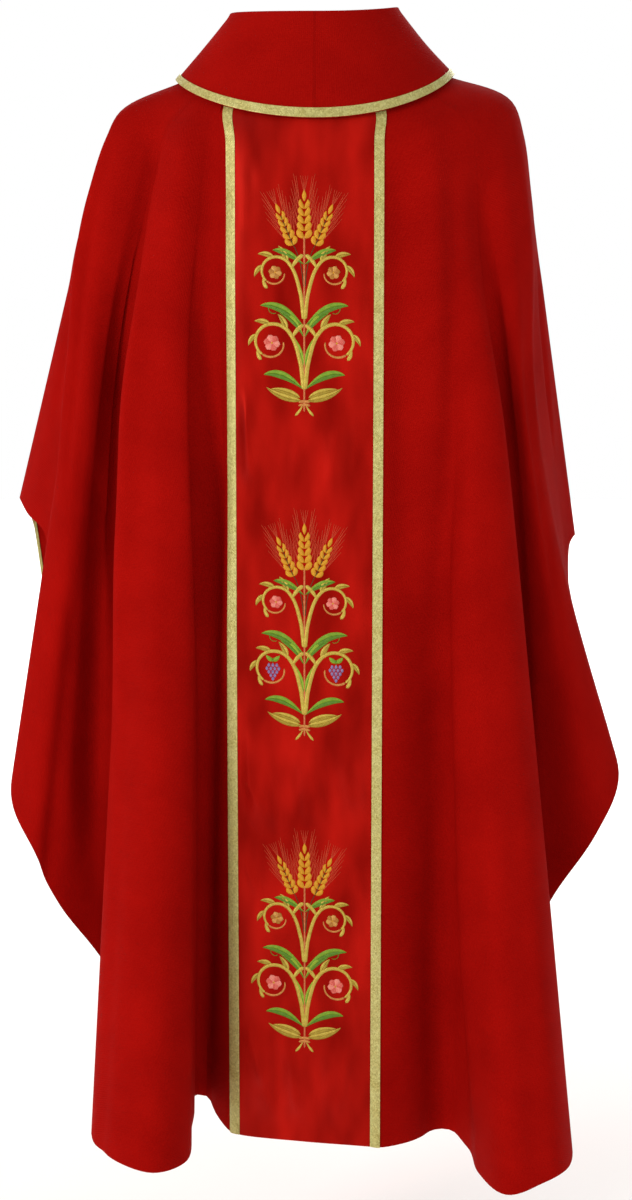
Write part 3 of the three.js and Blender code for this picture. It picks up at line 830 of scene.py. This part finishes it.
def bend_path(x, y, heading, length, bend, late, steps):
    """Points of a path of even steps whose heading goes from heading by bend times share^late."""
    share = np.linspace(0, 1, steps)
    angle = np.radians(heading + bend * share**late)
    step = length / (steps - 1)
    run = np.stack([np.sin(angle), np.cos(angle)], axis=1) * step
    return np.array([x, y]) + running(run[:-1])


def stroke_widths(shape, width, steps):
    """Widths along a stroke: a blade swells early and a sword late, both to a point, a petal
    swells towards a blunt end and a thread thins a little."""
    share = np.linspace(0, 1, steps)
    if shape == "blade":
        return width * np.sin(pi * share**0.75) ** 0.8 + 0.3
    if shape == "sword":
        return width * np.sin(pi * share**1.35) ** 0.9 + 0.9
    if shape == "petal":
        return width * (0.3 + 0.7 * np.sin(0.74 * pi * share))
    return width * (1 - 0.25 * share)


def drawn(row, steps=12):
    """One row of a table of bending strokes, as its threads and its points with widths."""
    path = bend_path(*(row[key] for key in ("x", "y", "heading", "length", "bend", "late")), steps)
    widths = stroke_widths(row["shape"], row["width"], steps)
    return row["threads"], np.column_stack([path, widths])


def spiral(across, up, radius, radius_end, start, sweep, width, width_end, steps):
    """A stroke round a middle, clockwise from an angle, its radius going evenly to its end."""
    share = np.linspace(0, 1, steps)
    angle = np.radians(start - sweep * share)
    reach = radius + (radius_end - radius) * share
    points = [across + reach * np.cos(angle), up + reach * np.sin(angle)]
    return np.column_stack([*points, width + (width_end - width) * share])


def scroll_strokes(scroll):
    """A branch that rises from the stalk and curls over clockwise round its eye, and its leaves.
    At angle a round the curl the branch heads 180 - a degrees from straight up."""
    x, y, width = scroll["across"], scroll["up"], scroll["width"]
    radius, eye, sweep = scroll["radius"], scroll["eye"], scroll["sweep"]
    curl = spiral(x, y, radius, eye, CURL_START, sweep, width, width * 0.4, 26)
    root = np.array([0.6, scroll["root"], width * 1.2])
    knee = root + (curl[0] - root) * (0.26, 0.5, 0.5)
    outer, eye_end = curl[:GOLD_STEPS], curl[GOLD_STEPS - 1 :]
    strokes = [("gold", np.concatenate([[root, knee], outer])), ("rosegold", eye_end)]
    for leaf in SCROLL_LEAVES:
        share = max(0, (CURL_START - leaf["angle"]) / sweep)
        reach = radius + (eye - radius) * share
        angle = radians(leaf["angle"])
        narrow = leaf["width"] < NARROW_LEAF
        row = {
            "threads": "gold" if narrow else ("gold", "shade"),
            "x": x + reach * cos(angle),
            "y": y + reach * sin(angle),
            "heading": 180 - leaf["angle"] - leaf["turn"],
            "length": leaf["length"],
            "bend": leaf["bend"],
            "late": 1.1,
            "width": leaf["width"],
            "shape": "petal" if narrow else "blade",
        }
        strokes.append(drawn(row))
    return strokes


def dot(thread, x, y, size):
    """A short round stroke."""
    stages = ((-0.32, 0.68), (0, 1), (0.32, 0.68))
    return thread, np.array([(x + size * step, y, size * width) for step, width in stages])


def rosette(x, y, reach, threads):
    """A round blossom: six petals turned evenly round its middle, in two threads by turns."""
    strokes = []
    for i in range(6):
        row = {"threads": threads[i % 2], "x": x, "y": y, "heading": 60 * i + 15, "length": reach}
        strokes.append(drawn({**row, "bend": 20, "late": 1, "width": reach * 0.86, "shape": "petal"}))
    return strokes + [dot("wheat", x, y, reach * 0.55)]


def ear(x, y, x_end, y_end, wide, pairs, veined):
    """Strokes of an ear of wheat: pairs of grains that lean out from its line, one at the tip,
    and a fan of awns. wide is its width at the foot. A grain's stages are its places outwards, as
    shares of the ear's half width, and upwards, as shares of a grain's gap, and its widths."""
    foot = np.array([x, y])
    length = np.hypot(x_end - x, y_end - y)
    up = np.array([x_end - x, y_end - y]) / length
    out = np.array([up[1], -up[0]])
    gap = length / (pairs + 0.9)
    strokes = []

    def line(thread, *points):
        strokes.append((thread, np.array([(*place, width) for place, width in points])))

    def awn(start, reach, lean):
        end = start + up * reach + out * reach * lean
        line("awn", (start, 0.5), ((start + end) / 2, 0.6), (end, 0.4))

    for i in range(pairs):
        root = foot + up * gap * i
        size = wide / 2 * (1 - 0.07 * i)
        for side in (-1, 1):
            grain = [
                (root + out * side * size * across + up * gap * along, width * size / 7.5)
                for across, along, width in GRAIN_STAGES
            ]
            line("wheat", *grain)
            tip = root + out * side * size * 0.9 + up * gap * 1.2
            for k in range(2):
                awn(tip, AWN + 3 * k, side * (0.24 + 0.1 * k - 0.025 * i))
    top = foot + up * gap * pairs
    line("wheat", (top, 1.5), (top + up * gap * 0.7, 5.0), (top + up * gap * 1.6, 0.8))
    for lean in (-0.22, -0.08, 0.08, 0.22):
        awn(top + up * gap * 1.1, TIP_AWN, lean)
    if veined:
        line("olive", (foot, 1.3), (foot + up * length * 0.4, 1.1), (foot + up * length * 0.8, 0.9))
    return strokes


def bunch(x, y):
    """Grapes in rows that narrow downwards, each a round stroke with a darker one on it, on a
    short stalk between two leaves."""
    strokes = [("moss", np.array([(x, y + 9, 1.4), (x, y + 3, 1.2)]))]
    for heading in (-62, 62):
        row = {"threads": "green", "x": x, "y": y + 5, "heading": heading, "length": 11}
        strokes.append(drawn({**row, "bend": -heading * 0.4, "late": 1, "width": 5, "shape": "blade"}))
    for row, count in enumerate(GRAPES_ACROSS):
        for i in range(count):
            across, up = x + (i - (count - 1) / 2) * GRAPE, y - row * GRAPE * 0.86
            strokes += [dot("bloom", across, up, GRAPE * 1.16), dot("grape", across, up, GRAPE * 0.86)]
    return strokes


def mirrored(stroke):
    """The same stroke on the other side of the middle line, with its two threads changed over."""
    threads, points = stroke
    swapped = threads if isinstance(threads, str) else threads[::-1]
    return swapped, points * (-1, 1, 1)


def filling(kind, scroll):
    """What lies in a scroll's eye."""
    x, y, reach = scroll["across"], scroll["up"], scroll["eye"] * 0.72
    if kind == "grapes":
        return bunch(x, y + 5)
    return rosette(x, y, reach, ("pink", "rose") if kind == "pink rosette" else ("peach", "amber"))


def motif_strokes(motif):
    """All strokes of a motif: its two halves, and the stalk, tie and ear on its middle line."""
    half = [drawn(row) for row in BOUQUET] + ear(13, 198, 31, 240, wide=14, pairs=5, veined=True)
    for scroll in SCROLLS:
        half += scroll_strokes(scroll) + filling(motif[scroll["name"]], scroll)
    height = np.linspace(4, 208, 30)
    stalk = ("copper", np.column_stack([0 * height, height, 2.2 - 0 * height]))
    tie = [("rosegold", np.array([(-7, up, 3.0), (0, up + 1, 3.6), (7, up, 3.0)])) for up in (11, 15)]
    middle_ear = ear(0, 206, 0, 256, wide=17, pairs=5, veined=False)
    return [stalk, *half, *(mirrored(stroke) for stroke in half), *tie, *middle_ear]


class Band:
    """The orphrey's outer face, as a map from the flat band to the hanging one."""

    def __init__(self, rows, columns):
        sides = (place_of("left galloon inner"), place_of("right galloon inner"))
        places = np.linspace(*sides, columns)
        reaches = np.linspace(BAND_TOP, 1, rows)
        self.points, self.normals = cloth_surface(places, reaches)
        top = step_lengths(hang(np.zeros(1), np.linspace(0, BAND_TOP, 9))).sum()
        self.along = top + running(step_lengths(self.points[:, columns // 2]))
        self.across = girth(places[None, :], reaches[:, None])
        self.lift = CLOTH / 2 + LAY_GAP + pucker_height(self.across, self.along[:, None])

    def at(self, x, y):
        """Points and normals of the outer face at x across and y along, both in millimetres."""
        rows = np.interp(y, self.along, np.arange(len(self.along)))
        middle_row = self.across[len(self.along) // 3]
        columns = np.interp(x, middle_row, np.arange(len(middle_row)))
        lift = bilinear(self.lift, rows, columns)[..., None] + SATIN
        normals = bilinear(self.normals, rows, columns)
        return bilinear(self.points, rows, columns) + normals * lift, normals


STATION = 1.6  # distance between two sections of a stroke
SECTION_ACROSS = np.array([-1, -0.72, -0.3, 0.3, 0.72, 1, 0.6, -0.6])
SECTION_UP = np.array([0, 0.7, 1, 1, 0.7, 0, -0.35, -0.35])


def stroke_grid(points, shift):
    """Sections of one stroke on the flat band: x, y, height and UV of each point. The path is a
    spline through the points, its ends rounded by half the width there, and shift moves it aside
    by that share of its width, for one half of a leaf. A stroke h mm to either side of its middle
    rises 0.25 + 0.28 h, at most 0.95."""
    chord = running(np.hypot(*np.diff(points[:, :2], axis=0).T))
    count = max(6, int(chord[-1] / STATION))
    along = np.linspace(0, chord[-1], count)
    if len(points) > 2:
        path = spline(chord, points, along)
    else:
        path = np.stack([np.interp(along, chord, values) for values in points.T], axis=1)
    way = unit(np.gradient(path[:, :2], along, axis=0))
    side = np.stack([way[:, 1], -way[:, 0]], axis=1)
    half = np.maximum(path[:, 2], 0.1) / 2
    from_end = np.minimum(along, along[-1] - along) + 0.12
    half = half * np.sqrt(np.clip(1 - (1 - np.clip(from_end / half, 0, 1)) ** 2, 0.02, 1))
    centre = path[:, :2] + side * (half * shift)[:, None]
    if shift:
        half = half / 2
    rise = np.minimum(0.25 + 0.28 * half, 0.95)
    across = half[:, None] * SECTION_ACROSS
    flat = centre[:, None, :] + side[:, None, :] * across[:, :, None]
    uv = np.stack([np.broadcast_to(along[:, None], across.shape), across], axis=-1)
    return flat, rise[:, None] * SECTION_UP, uv


def tube_faces(stations, ring):
    """Quads round a closed tube of sections, and the quads that close its two ends."""
    index = np.arange(stations * ring).reshape(stations, ring)
    turned = np.roll(index, -1, axis=1)
    sides = np.stack([index[:-1], turned[:-1], turned[1:], index[1:]], axis=-1).reshape(-1, 4)
    caps = []
    for row, order in ((index[0], 1), (index[-1], -1)):
        for k in range(ring // 2 - 1):
            caps.append([row[k], row[ring - 1 - k], row[ring - 2 - k], row[k + 1]][::order])
    return np.concatenate([sides, np.array(caps)])


# Thread colours: light, the thread's own, and dark, painted shade in the grooves between its
# stitches; and how metallic the thread is.
THREADS = table(
    "name title light dark metallic",
    ("gold", "gold lurex thread", "#d9c45c", "#a5892a", 0.35),
    ("shade", "old gold thread", "#b8a03a", "#8a7020", 0.3),
    ("rosegold", "rose gold thread", "#dc9a52", "#a8642c", 0.35),
    ("copper", "copper thread", "#e0935c", "#a3491f", 0.3),
    ("awn", "fine copper thread", "#d9603a", "#b23319", 0.2),
    ("wheat", "wheat yellow thread", "#e0a51e", "#b5780f", 0.0),
    ("olive", "dark olive thread", "#5b4a17", "#38300d", 0.0),
    ("green", "leaf green thread", "#93b232", "#5a8419", 0.0),
    ("leaf", "spring green thread", "#a8bf38", "#6c901c", 0.0),
    ("moss", "dark green thread", "#6b9226", "#426c14", 0.0),
    ("pink", "pink thread", "#efa492", "#cf5f50", 0.0),
    ("rose", "rose thread", "#e47c6c", "#b9392f", 0.0),
    ("peach", "peach gold thread", "#dcae62", "#b0742c", 0.1),
    ("amber", "amber thread", "#c98b3a", "#8f551a", 0.1),
    ("grape", "violet thread", "#4a3ac0", "#251a6e", 0.0),
    ("bloom", "pale lilac thread", "#a592b8", "#6a5688", 0.0),
)


# ---- settings ----

FLOOR_HEIGHT = -1.45  # metres


def colour_property(name, description, code):
    """A colour that a user can change, with its default in sRGB hex."""
    return bpy.props.FloatVectorProperty(
        name=name, description=description, subtype="COLOR", size=3, min=0, max=1, default=linear(code)
    )


class VestmentCloth(bpy.types.PropertyGroup):
    """Sizes and colours of the panels and the collar."""

    red: colour_property("Red", "The cloth where light falls on it", "#970a07")
    shade: colour_property("Shade", "The darker reds of its mottling", "#850605")
    glow: colour_property("Glow", "Tips of the nap", "#b0160c")
    weave_pitch: bpy.props.FloatProperty(
        name="Weave pitch", description="Distance in mm between two drawn threads", default=2.0, min=0.5
    )
    back_columns: bpy.props.IntProperty(
        name="Back columns", description="Columns of the back panel's mesh", default=300, min=60
    )
    front_columns: bpy.props.IntProperty(
        name="Front columns", description="Columns of the front panel's mesh", default=270, min=60
    )
    rows: bpy.props.IntProperty(name="Rows", description="Rows of both panels", default=150, min=30)


class VestmentOrphrey(bpy.types.PropertyGroup):
    """Colours of the satin: a lit red and a darker one, painted sheen and painted shade."""

    satin: colour_property("Satin", "The satin where it shines", "#ab140d")
    satin_painted_shade: colour_property("Satin shade", "The satin between its streaks", "#7a0805")


class VestmentGalloon(bpy.types.PropertyGroup):
    """Colours and relief of the gold galloon: the yarn's gold, and a dark and a pale gold painted as
    shade and glint on random facets, the pale one also in broad random lumps.
    """

    gold: colour_property("Gold", "The yarn", "#b9ab5a")
    gold_painted_shade: colour_property("Gold shade", "Between the yarns", "#7d7030")
    gold_glint_and_pale_tone: colour_property("Gold light", "Where the yarn glints", "#d3cc84")
    relief: bpy.props.FloatProperty(
        name="Relief", description="Height of the lattice", default=0.22 * MM, min=0, unit="LENGTH"
    )


class VestmentStage(bpy.types.PropertyGroup):
    """The floor, light and camera."""

    floor: colour_property("Floor", "The pale floor", "#faf9f7")
    floor_height: bpy.props.FloatProperty(
        name="Floor height", description="At a wearer's feet", default=FLOOR_HEIGHT, unit="LENGTH"
    )
    camera_distance: bpy.props.FloatProperty(
        name="Camera distance", description="From the cloth's middle", default=2.7, unit="LENGTH"
    )
    camera_pitch: bpy.props.FloatProperty(
        name="Camera pitch", description="How far it looks down", default=radians(8.5), unit="ROTATION"
    )


# ---- operators ----


class VESTMENT_OT_panels(bpy.types.Operator):
    """Back and front panel, closed walls on the hanging surface with their soft creases"""

    bl_idname = "vestment.panels"
    bl_label = "Panels"

    def execute(self, context):
        look = context.scene.vestment_cloth
        material = red_cloth_material(look)
        reaches = np.linspace(0, 1, look.rows)
        sides = (
            ("back", place_of("left seam"), place_of("right seam"), look.back_columns),
            ("front", place_of("right seam"), place_of("left seam") + ROUND, look.front_columns),
        )
        for side, start, end, columns in sides:
            middle, normals = cloth_surface(np.linspace(start, end, columns), reaches)
            uv = flat_cut(middle)
            piece = make_wall(f"{side}_cloth", middle, normals, -CLOTH / 2, CLOTH / 2, uv, "cut")
            settle(piece, material, f"{side}_panel")
        return {"FINISHED"}


class VESTMENT_OT_collar(bpy.types.Operator):
    """Roll collar: from its seam up the stand, over the roll and down to its free edge"""

    bl_idname = "vestment.collar"
    bl_label = "Collar"

    def execute(self, context):
        rows, columns = COLLAR_GRID
        turns = np.linspace(0, 360, columns, endpoint=False)
        middle, normals = collar_surface(turns, np.linspace(0, len(COLLAR) - 1, rows))
        uv = collar_cut(middle)
        piece = make_wall("roll_collar", middle, normals, -CLOTH / 2, CLOTH / 2, uv, "cut", ring=True)
        settle(piece, red_cloth_material(context.scene.vestment_cloth), "collar")
        return {"FINISHED"}


def collar_surface(turns, steps):
    """Middle of the collar and its outward normals: a spline through the collar's sections at
    each turn, rows by columns, in millimetres."""
    sections = np.arange(len(COLLAR))

    def at(turns, steps):
        points = np.stack([section_points(row, turns) for row in COLLAR])
        return spline(sections, points, np.clip(steps, 0, sections[-1]))

    nudge = 0.02
    round_way = at(turns + nudge, steps) - at(turns - nudge, steps)
    down = at(turns, steps + nudge) - at(turns, steps - nudge)
    return at(turns, steps), unit(np.cross(down, round_way))


def collar_cut(middle):
    """UV of the collar in millimetres: round it along its roll, and across it."""
    ring = np.linalg.norm(np.roll(middle, -1, axis=1) - middle, axis=2).mean(axis=0)
    across = running(ring)[:-1]
    down = running(step_lengths(middle).mean(axis=1))
    return np.stack(np.broadcast_arrays(across[None, :], -down[:, None]), axis=-1)


class VESTMENT_OT_orphrey(bpy.types.Operator):
    """Satin orphrey down the centre back, lying on the back panel"""

    bl_idname = "vestment.orphrey"
    bl_label = "Orphrey"

    def execute(self, context):
        band = Band(*ORPHREY_GRID)
        middle = band.points.copy()
        trim_sides(middle)
        outside = band.lift + SATIN
        uv = strip_cut(middle)
        piece = make_wall("satin_orphrey", middle, band.normals, band.lift, outside, uv, "cut")
        material = red_satin_material(context.scene.vestment_orphrey)
        settle(piece, material, "back_orphrey")
        return {"FINISHED"}


def galloon_relief(across, along, relief):
    """Height of the woven face over the galloon's back: two sets of ridges that cross every 5 mm,
    relief (1 + cos a cos b) / 2, between a raised cord along each selvage. across runs from -1 to
    1, cords lie at 0.82 and fall to a third in 0.1."""
    lattice = np.cos(2 * pi * (along / 5 + across)) * np.cos(2 * pi * (along / 5 - across))
    cords = np.exp(-(((np.abs(across) - 0.82) / 0.1) ** 2))
    height = relief * (0.5 * (1 + lattice) * (np.abs(across) < 0.7) + 1.2 * cords)
    return GALLOON - relief + height


class VESTMENT_OT_galloons(bpy.types.Operator):
    """Gold galloon beside the orphrey and round the collar's free edge"""

    bl_idname = "vestment.galloons"
    bl_label = "Galloons"

    def execute(self, context):
        look = context.scene.vestment_galloon
        material = galloon_material(look)
        relief = look.relief / MM
        inside = CLOTH / 2 + LAY_GAP
        rows, columns = GALLOON_GRID
        reaches = np.linspace(BAND_TOP, 1, rows)
        across = np.linspace(-1, 1, columns)
        for side in ("left", "right"):
            start, end = sorted(place_of(f"{side} galloon {edge}") for edge in ("outer", "inner"))
            middle, normals = cloth_surface(np.linspace(start, end, columns), reaches)
            uv = strip_cut(middle)
            outside = inside + galloon_relief(across[None, :], uv[:, :1, 1], relief)
            piece = make_wall(f"galloon_{side}", middle, normals, inside, outside, uv, "strip")
            settle(piece, material, f"back_galloon_{side}")
        edge = len(COLLAR) - 1
        path = collar_surface(np.zeros(1), np.array([edge - 1.0, edge]))[0]
        fall = np.linalg.norm(path[1] - path[0])
        steps = edge - (1 - across) / 2 * GALLOON_WIDTH / fall
        turns = np.linspace(0, 360, EDGE_COLUMNS, endpoint=False)
        middle, normals = collar_surface(turns, steps)
        uv = collar_cut(middle)[..., ::-1]
        outside = inside + galloon_relief(across[:, None], uv[..., 1], relief)
        name = "collar_edge_galloon"
        piece = make_wall(name, middle, normals, inside, outside, uv, "strip", ring=True)
        settle(piece, material, "collar_galloon")
        return {"FINISHED"}


class VESTMENT_OT_wing_tapes(bpy.types.Operator):
    """Gold tape inside the front panel's hem, round both wings"""

    bl_idname = "vestment.wing_tapes"
    bl_label = "Wing tapes"

    def execute(self, context):
        material = galloon_material(context.scene.vestment_galloon)
        outside = -CLOTH / 2 - LAY_GAP
        rows, columns = TAPE_GRID
        reaches = np.linspace(TAPE_TOP, 1, rows)
        spans = (
            ("right", place_of("right seam"), place_of("right front groove")),
            ("left", place_of("left front groove"), place_of("left seam") + ROUND),
        )
        for side, start, end in spans:
            middle, normals = cloth_surface(np.linspace(start, end, columns), reaches)
            trim_sides(middle)
            uv = strip_cut(middle)[..., ::-1]
            name = f"wing_tape_{side}"
            piece = make_wall(f"{name}_strip", middle, normals, outside - TAPE, outside, uv, "strip")
            settle(piece, material, name)
        return {"FINISHED"}


def stitched(band, motif, points, shift):
    """One stroke laid on the band: the points of its tube, its quads and its UV."""
    flat, rise, uv = stroke_grid(points, shift)
    x = flat[..., 0] * motif["scale"]
    y = motif["foot"] - flat[..., 1] * motif["scale"]
    surface, normals = band.at(x, y)
    surface += normals * rise[:, :, None]
    return surface.reshape(-1, 3), tube_faces(*rise.shape), uv.reshape(-1, 2)


class VESTMENT_OT_embroidery(bpy.types.Operator):
    """Three motifs in satin stitch on the orphrey, one mesh for each thread"""

    bl_idname = "vestment.embroidery"
    bl_label = "Embroidery"

    def execute(self, context):
        band = Band(*STITCHED_GRID)
        parts = {thread["name"]: [] for thread in THREADS}
        for motif in MOTIFS:
            for threads, points in motif_strokes(motif):
                halves = ((threads, 0),) if isinstance(threads, str) else zip(threads, (-0.5, 0.5))
                for thread, shift in halves:
                    parts[thread].append(stitched(band, motif, points, shift))
        for thread in THREADS:
            points, faces, uv = zip(*parts[thread["name"]])
            starts = running([len(part) for part in points])
            faces = [part + start for part, start in zip(faces, starts)]
            arrays = [np.concatenate(grids) for grids in (points, faces, uv)]
            piece = make_mesh(f"embroidery_{thread['name']}", *arrays, "stroke", SHARP_STITCH)
            settle(piece, thread_material(thread))
        return {"FINISHED"}


# The stage, in metres: half the floor's side, and the lights, each with its place, what it looks
# at, the length of its side and its power in watts.
FLOOR_HALF = 9.0
CLOTH_MIDDLE = (0, 0, -0.6)
WHITE = (1, 1, 1)
LIGHTS = table(
    "name place target size power colour",
    ("key", (-2.9, -2.9, 0.6), CLOTH_MIDDLE, 1.2, 83, (1, 0.97, 0.94)),
    ("fill", (2.0, -3.8, 0.2), CLOTH_MIDDLE, 2.0, 26, WHITE),
    ("warm side", (-3.0, 0.6, 0.1), (-0.3, 0, -0.4), 0.9, 16, linear("#ffa070")),
    ("rear", (0.8, 3.4, 1.2), CLOTH_MIDDLE, 2.0, 60, WHITE),
    ("back of the floor", (0, 6.5, 3.0), (0, 7.5, FLOOR_HEIGHT), 5.0, 420, WHITE),
)
WALL_LIGHT = 0.58  # what the studio's white walls give
WALL_SEEN = 1  # and how bright they look
CAMERA_AIM = (0, -0.05, -0.61)
SENSOR = 36  # width in millimetres
LENS = 69.24


def place_object(name, data):
    """An object of the stage, linked to the scene."""
    placed = bpy.data.objects.new(name, data)
    bpy.context.scene.collection.objects.link(placed)
    return placed


def add_light(light):
    """A soft square light that looks at a point and isn't seen itself."""
    lamp = bpy.data.lights.new(light["name"], "AREA")
    lamp.shape = "SQUARE"
    lamp.size = light["size"]
    lamp.energy = light["power"]
    lamp.color = light["colour"]
    holder = place_object(light["name"], lamp)
    way = Vector(light["target"]) - Vector(light["place"])
    holder.location = light["place"]
    holder.rotation_euler = way.to_track_quat("-Z", "Y").to_euler()
    holder.visible_camera = False


def add_floor(look):
    """A wide matt floor."""
    mesh = bpy.data.meshes.new("floor")
    corners = ((-1, -1), (1, -1), (1, 1), (-1, 1))
    points = [(x * FLOOR_HALF, y * FLOOR_HALF, look.floor_height) for x, y in corners]
    mesh.from_pydata(points, [], [(0, 1, 2, 3)])
    paint = {"Base Color": look.floor, "Roughness": 0.9, "Specular IOR Level": 0.1}
    material = new_material("painted studio floor", lambda tree: add(tree, "BsdfPrincipled", paint))
    mesh.materials.append(material)
    place_object("floor", mesh)


def add_studio():
    """White walls all round, lit apart so that they look paler than the light that they give."""
    world = bpy.data.worlds.new("studio")
    world.use_nodes = True
    tree = world.node_tree
    background = tree.nodes["Background"]
    background.inputs["Color"].default_value = (1, 1, 1, 1)
    seen = add(tree, "LightPath", {}, "Is Camera Ray")
    shares = {0: seen, 1: WALL_SEEN - WALL_LIGHT, 2: WALL_LIGHT}
    strength = add(tree, "Math", shares, operation="MULTIPLY_ADD")
    tree.links.new(strength, background.inputs["Strength"])
    bpy.context.scene.world = world


def add_camera(look):
    """A camera that looks at the cloth's middle from the back and a little from above."""
    camera = bpy.data.cameras.new("camera")
    camera.sensor_width = SENSOR
    camera.lens = LENS
    holder = place_object("camera", camera)
    way = np.array([0, cos(look.camera_pitch), -sin(look.camera_pitch)])
    holder.location = np.array(CAMERA_AIM) - way * look.camera_distance
    holder.rotation_euler = (pi / 2 - look.camera_pitch, 0, 0)
    bpy.context.scene.camera = holder


class VESTMENT_OT_stage(bpy.types.Operator):
    """Pale floor, soft studio light and the camera"""

    bl_idname = "vestment.stage"
    bl_label = "Stage"

    def execute(self, context):
        look = context.scene.vestment_stage
        context.scene.view_settings.view_transform = "Standard"
        add_floor(look)
        add_studio()
        for light in LIGHTS:
            add_light(light)
        add_camera(look)
        return {"FINISHED"}


class VESTMENT_PT_sidebar(bpy.types.Panel):
    """The vestment's pieces and settings"""

    bl_label = "Chasuble"
    bl_space_type = "VIEW_3D"
    bl_region_type = "UI"
    bl_category = "Vestment"

    def draw(self, context):
        for group in GROUPS:
            settings = getattr(context.scene, group)
            for name in settings.__annotations__:
                self.layout.prop(settings, name)
        for operator in OPERATORS:
            self.layout.operator(operator.bl_idname)


GROUPS = {
    "vestment_cloth": VestmentCloth,
    "vestment_orphrey": VestmentOrphrey,
    "vestment_galloon": VestmentGalloon,
    "vestment_stage": VestmentStage,
}
OPERATORS = (
    VESTMENT_OT_panels,
    VESTMENT_OT_collar,
    VESTMENT_OT_orphrey,
    VESTMENT_OT_galloons,
    VESTMENT_OT_wing_tapes,
    VESTMENT_OT_embroidery,
    VESTMENT_OT_stage,
)


def register():
    """Registers the classes and hangs each group of settings on the scene."""
    for name, group in GROUPS.items():
        bpy.utils.register_class(group)
        setattr(bpy.types.Scene, name, bpy.props.PointerProperty(type=group))
    for operator in OPERATORS:
        bpy.utils.register_class(operator)
    bpy.utils.register_class(VESTMENT_PT_sidebar)


def unregister():
    """Takes back what register did."""
    bpy.utils.unregister_class(VESTMENT_PT_sidebar)
    for operator in reversed(OPERATORS):
        bpy.utils.unregister_class(operator)
    for name, group in GROUPS.items():
        delattr(bpy.types.Scene, name)
        bpy.utils.unregister_class(group)


# Each sheet of cloth: width, length and area of its flat cut in metres, what it rests on and what
# is sewn on it.
SHEETS = table(
    "name flat area rests_on sewn_on",
    ("back_cloth", (1.43, 1.3), 1.2, (), ()),
    ("front_cloth", (1.27, 1.27), 0.93, (), ("wing_tape_",)),
    ("roll_collar", (0.72, 0.19), 0.136, (), ("collar_edge_",)),
    ("satin_orphrey", (0.16, 1.21), 0.193, ("back_cloth",), ("galloon_", "embroidery_")),
)


def declare_sheets():
    """Reads what each sheet of cloth rests on, and does nothing with it."""
    for sheet in SHEETS:
        list(sheet["rests_on"])


def main():
    register()
    for operator in OPERATORS:
        group, name = operator.bl_idname.split(".")
        getattr(getattr(bpy.ops, group), name)()
    declare_sheets()


if __name__ == "__main__":
    main()
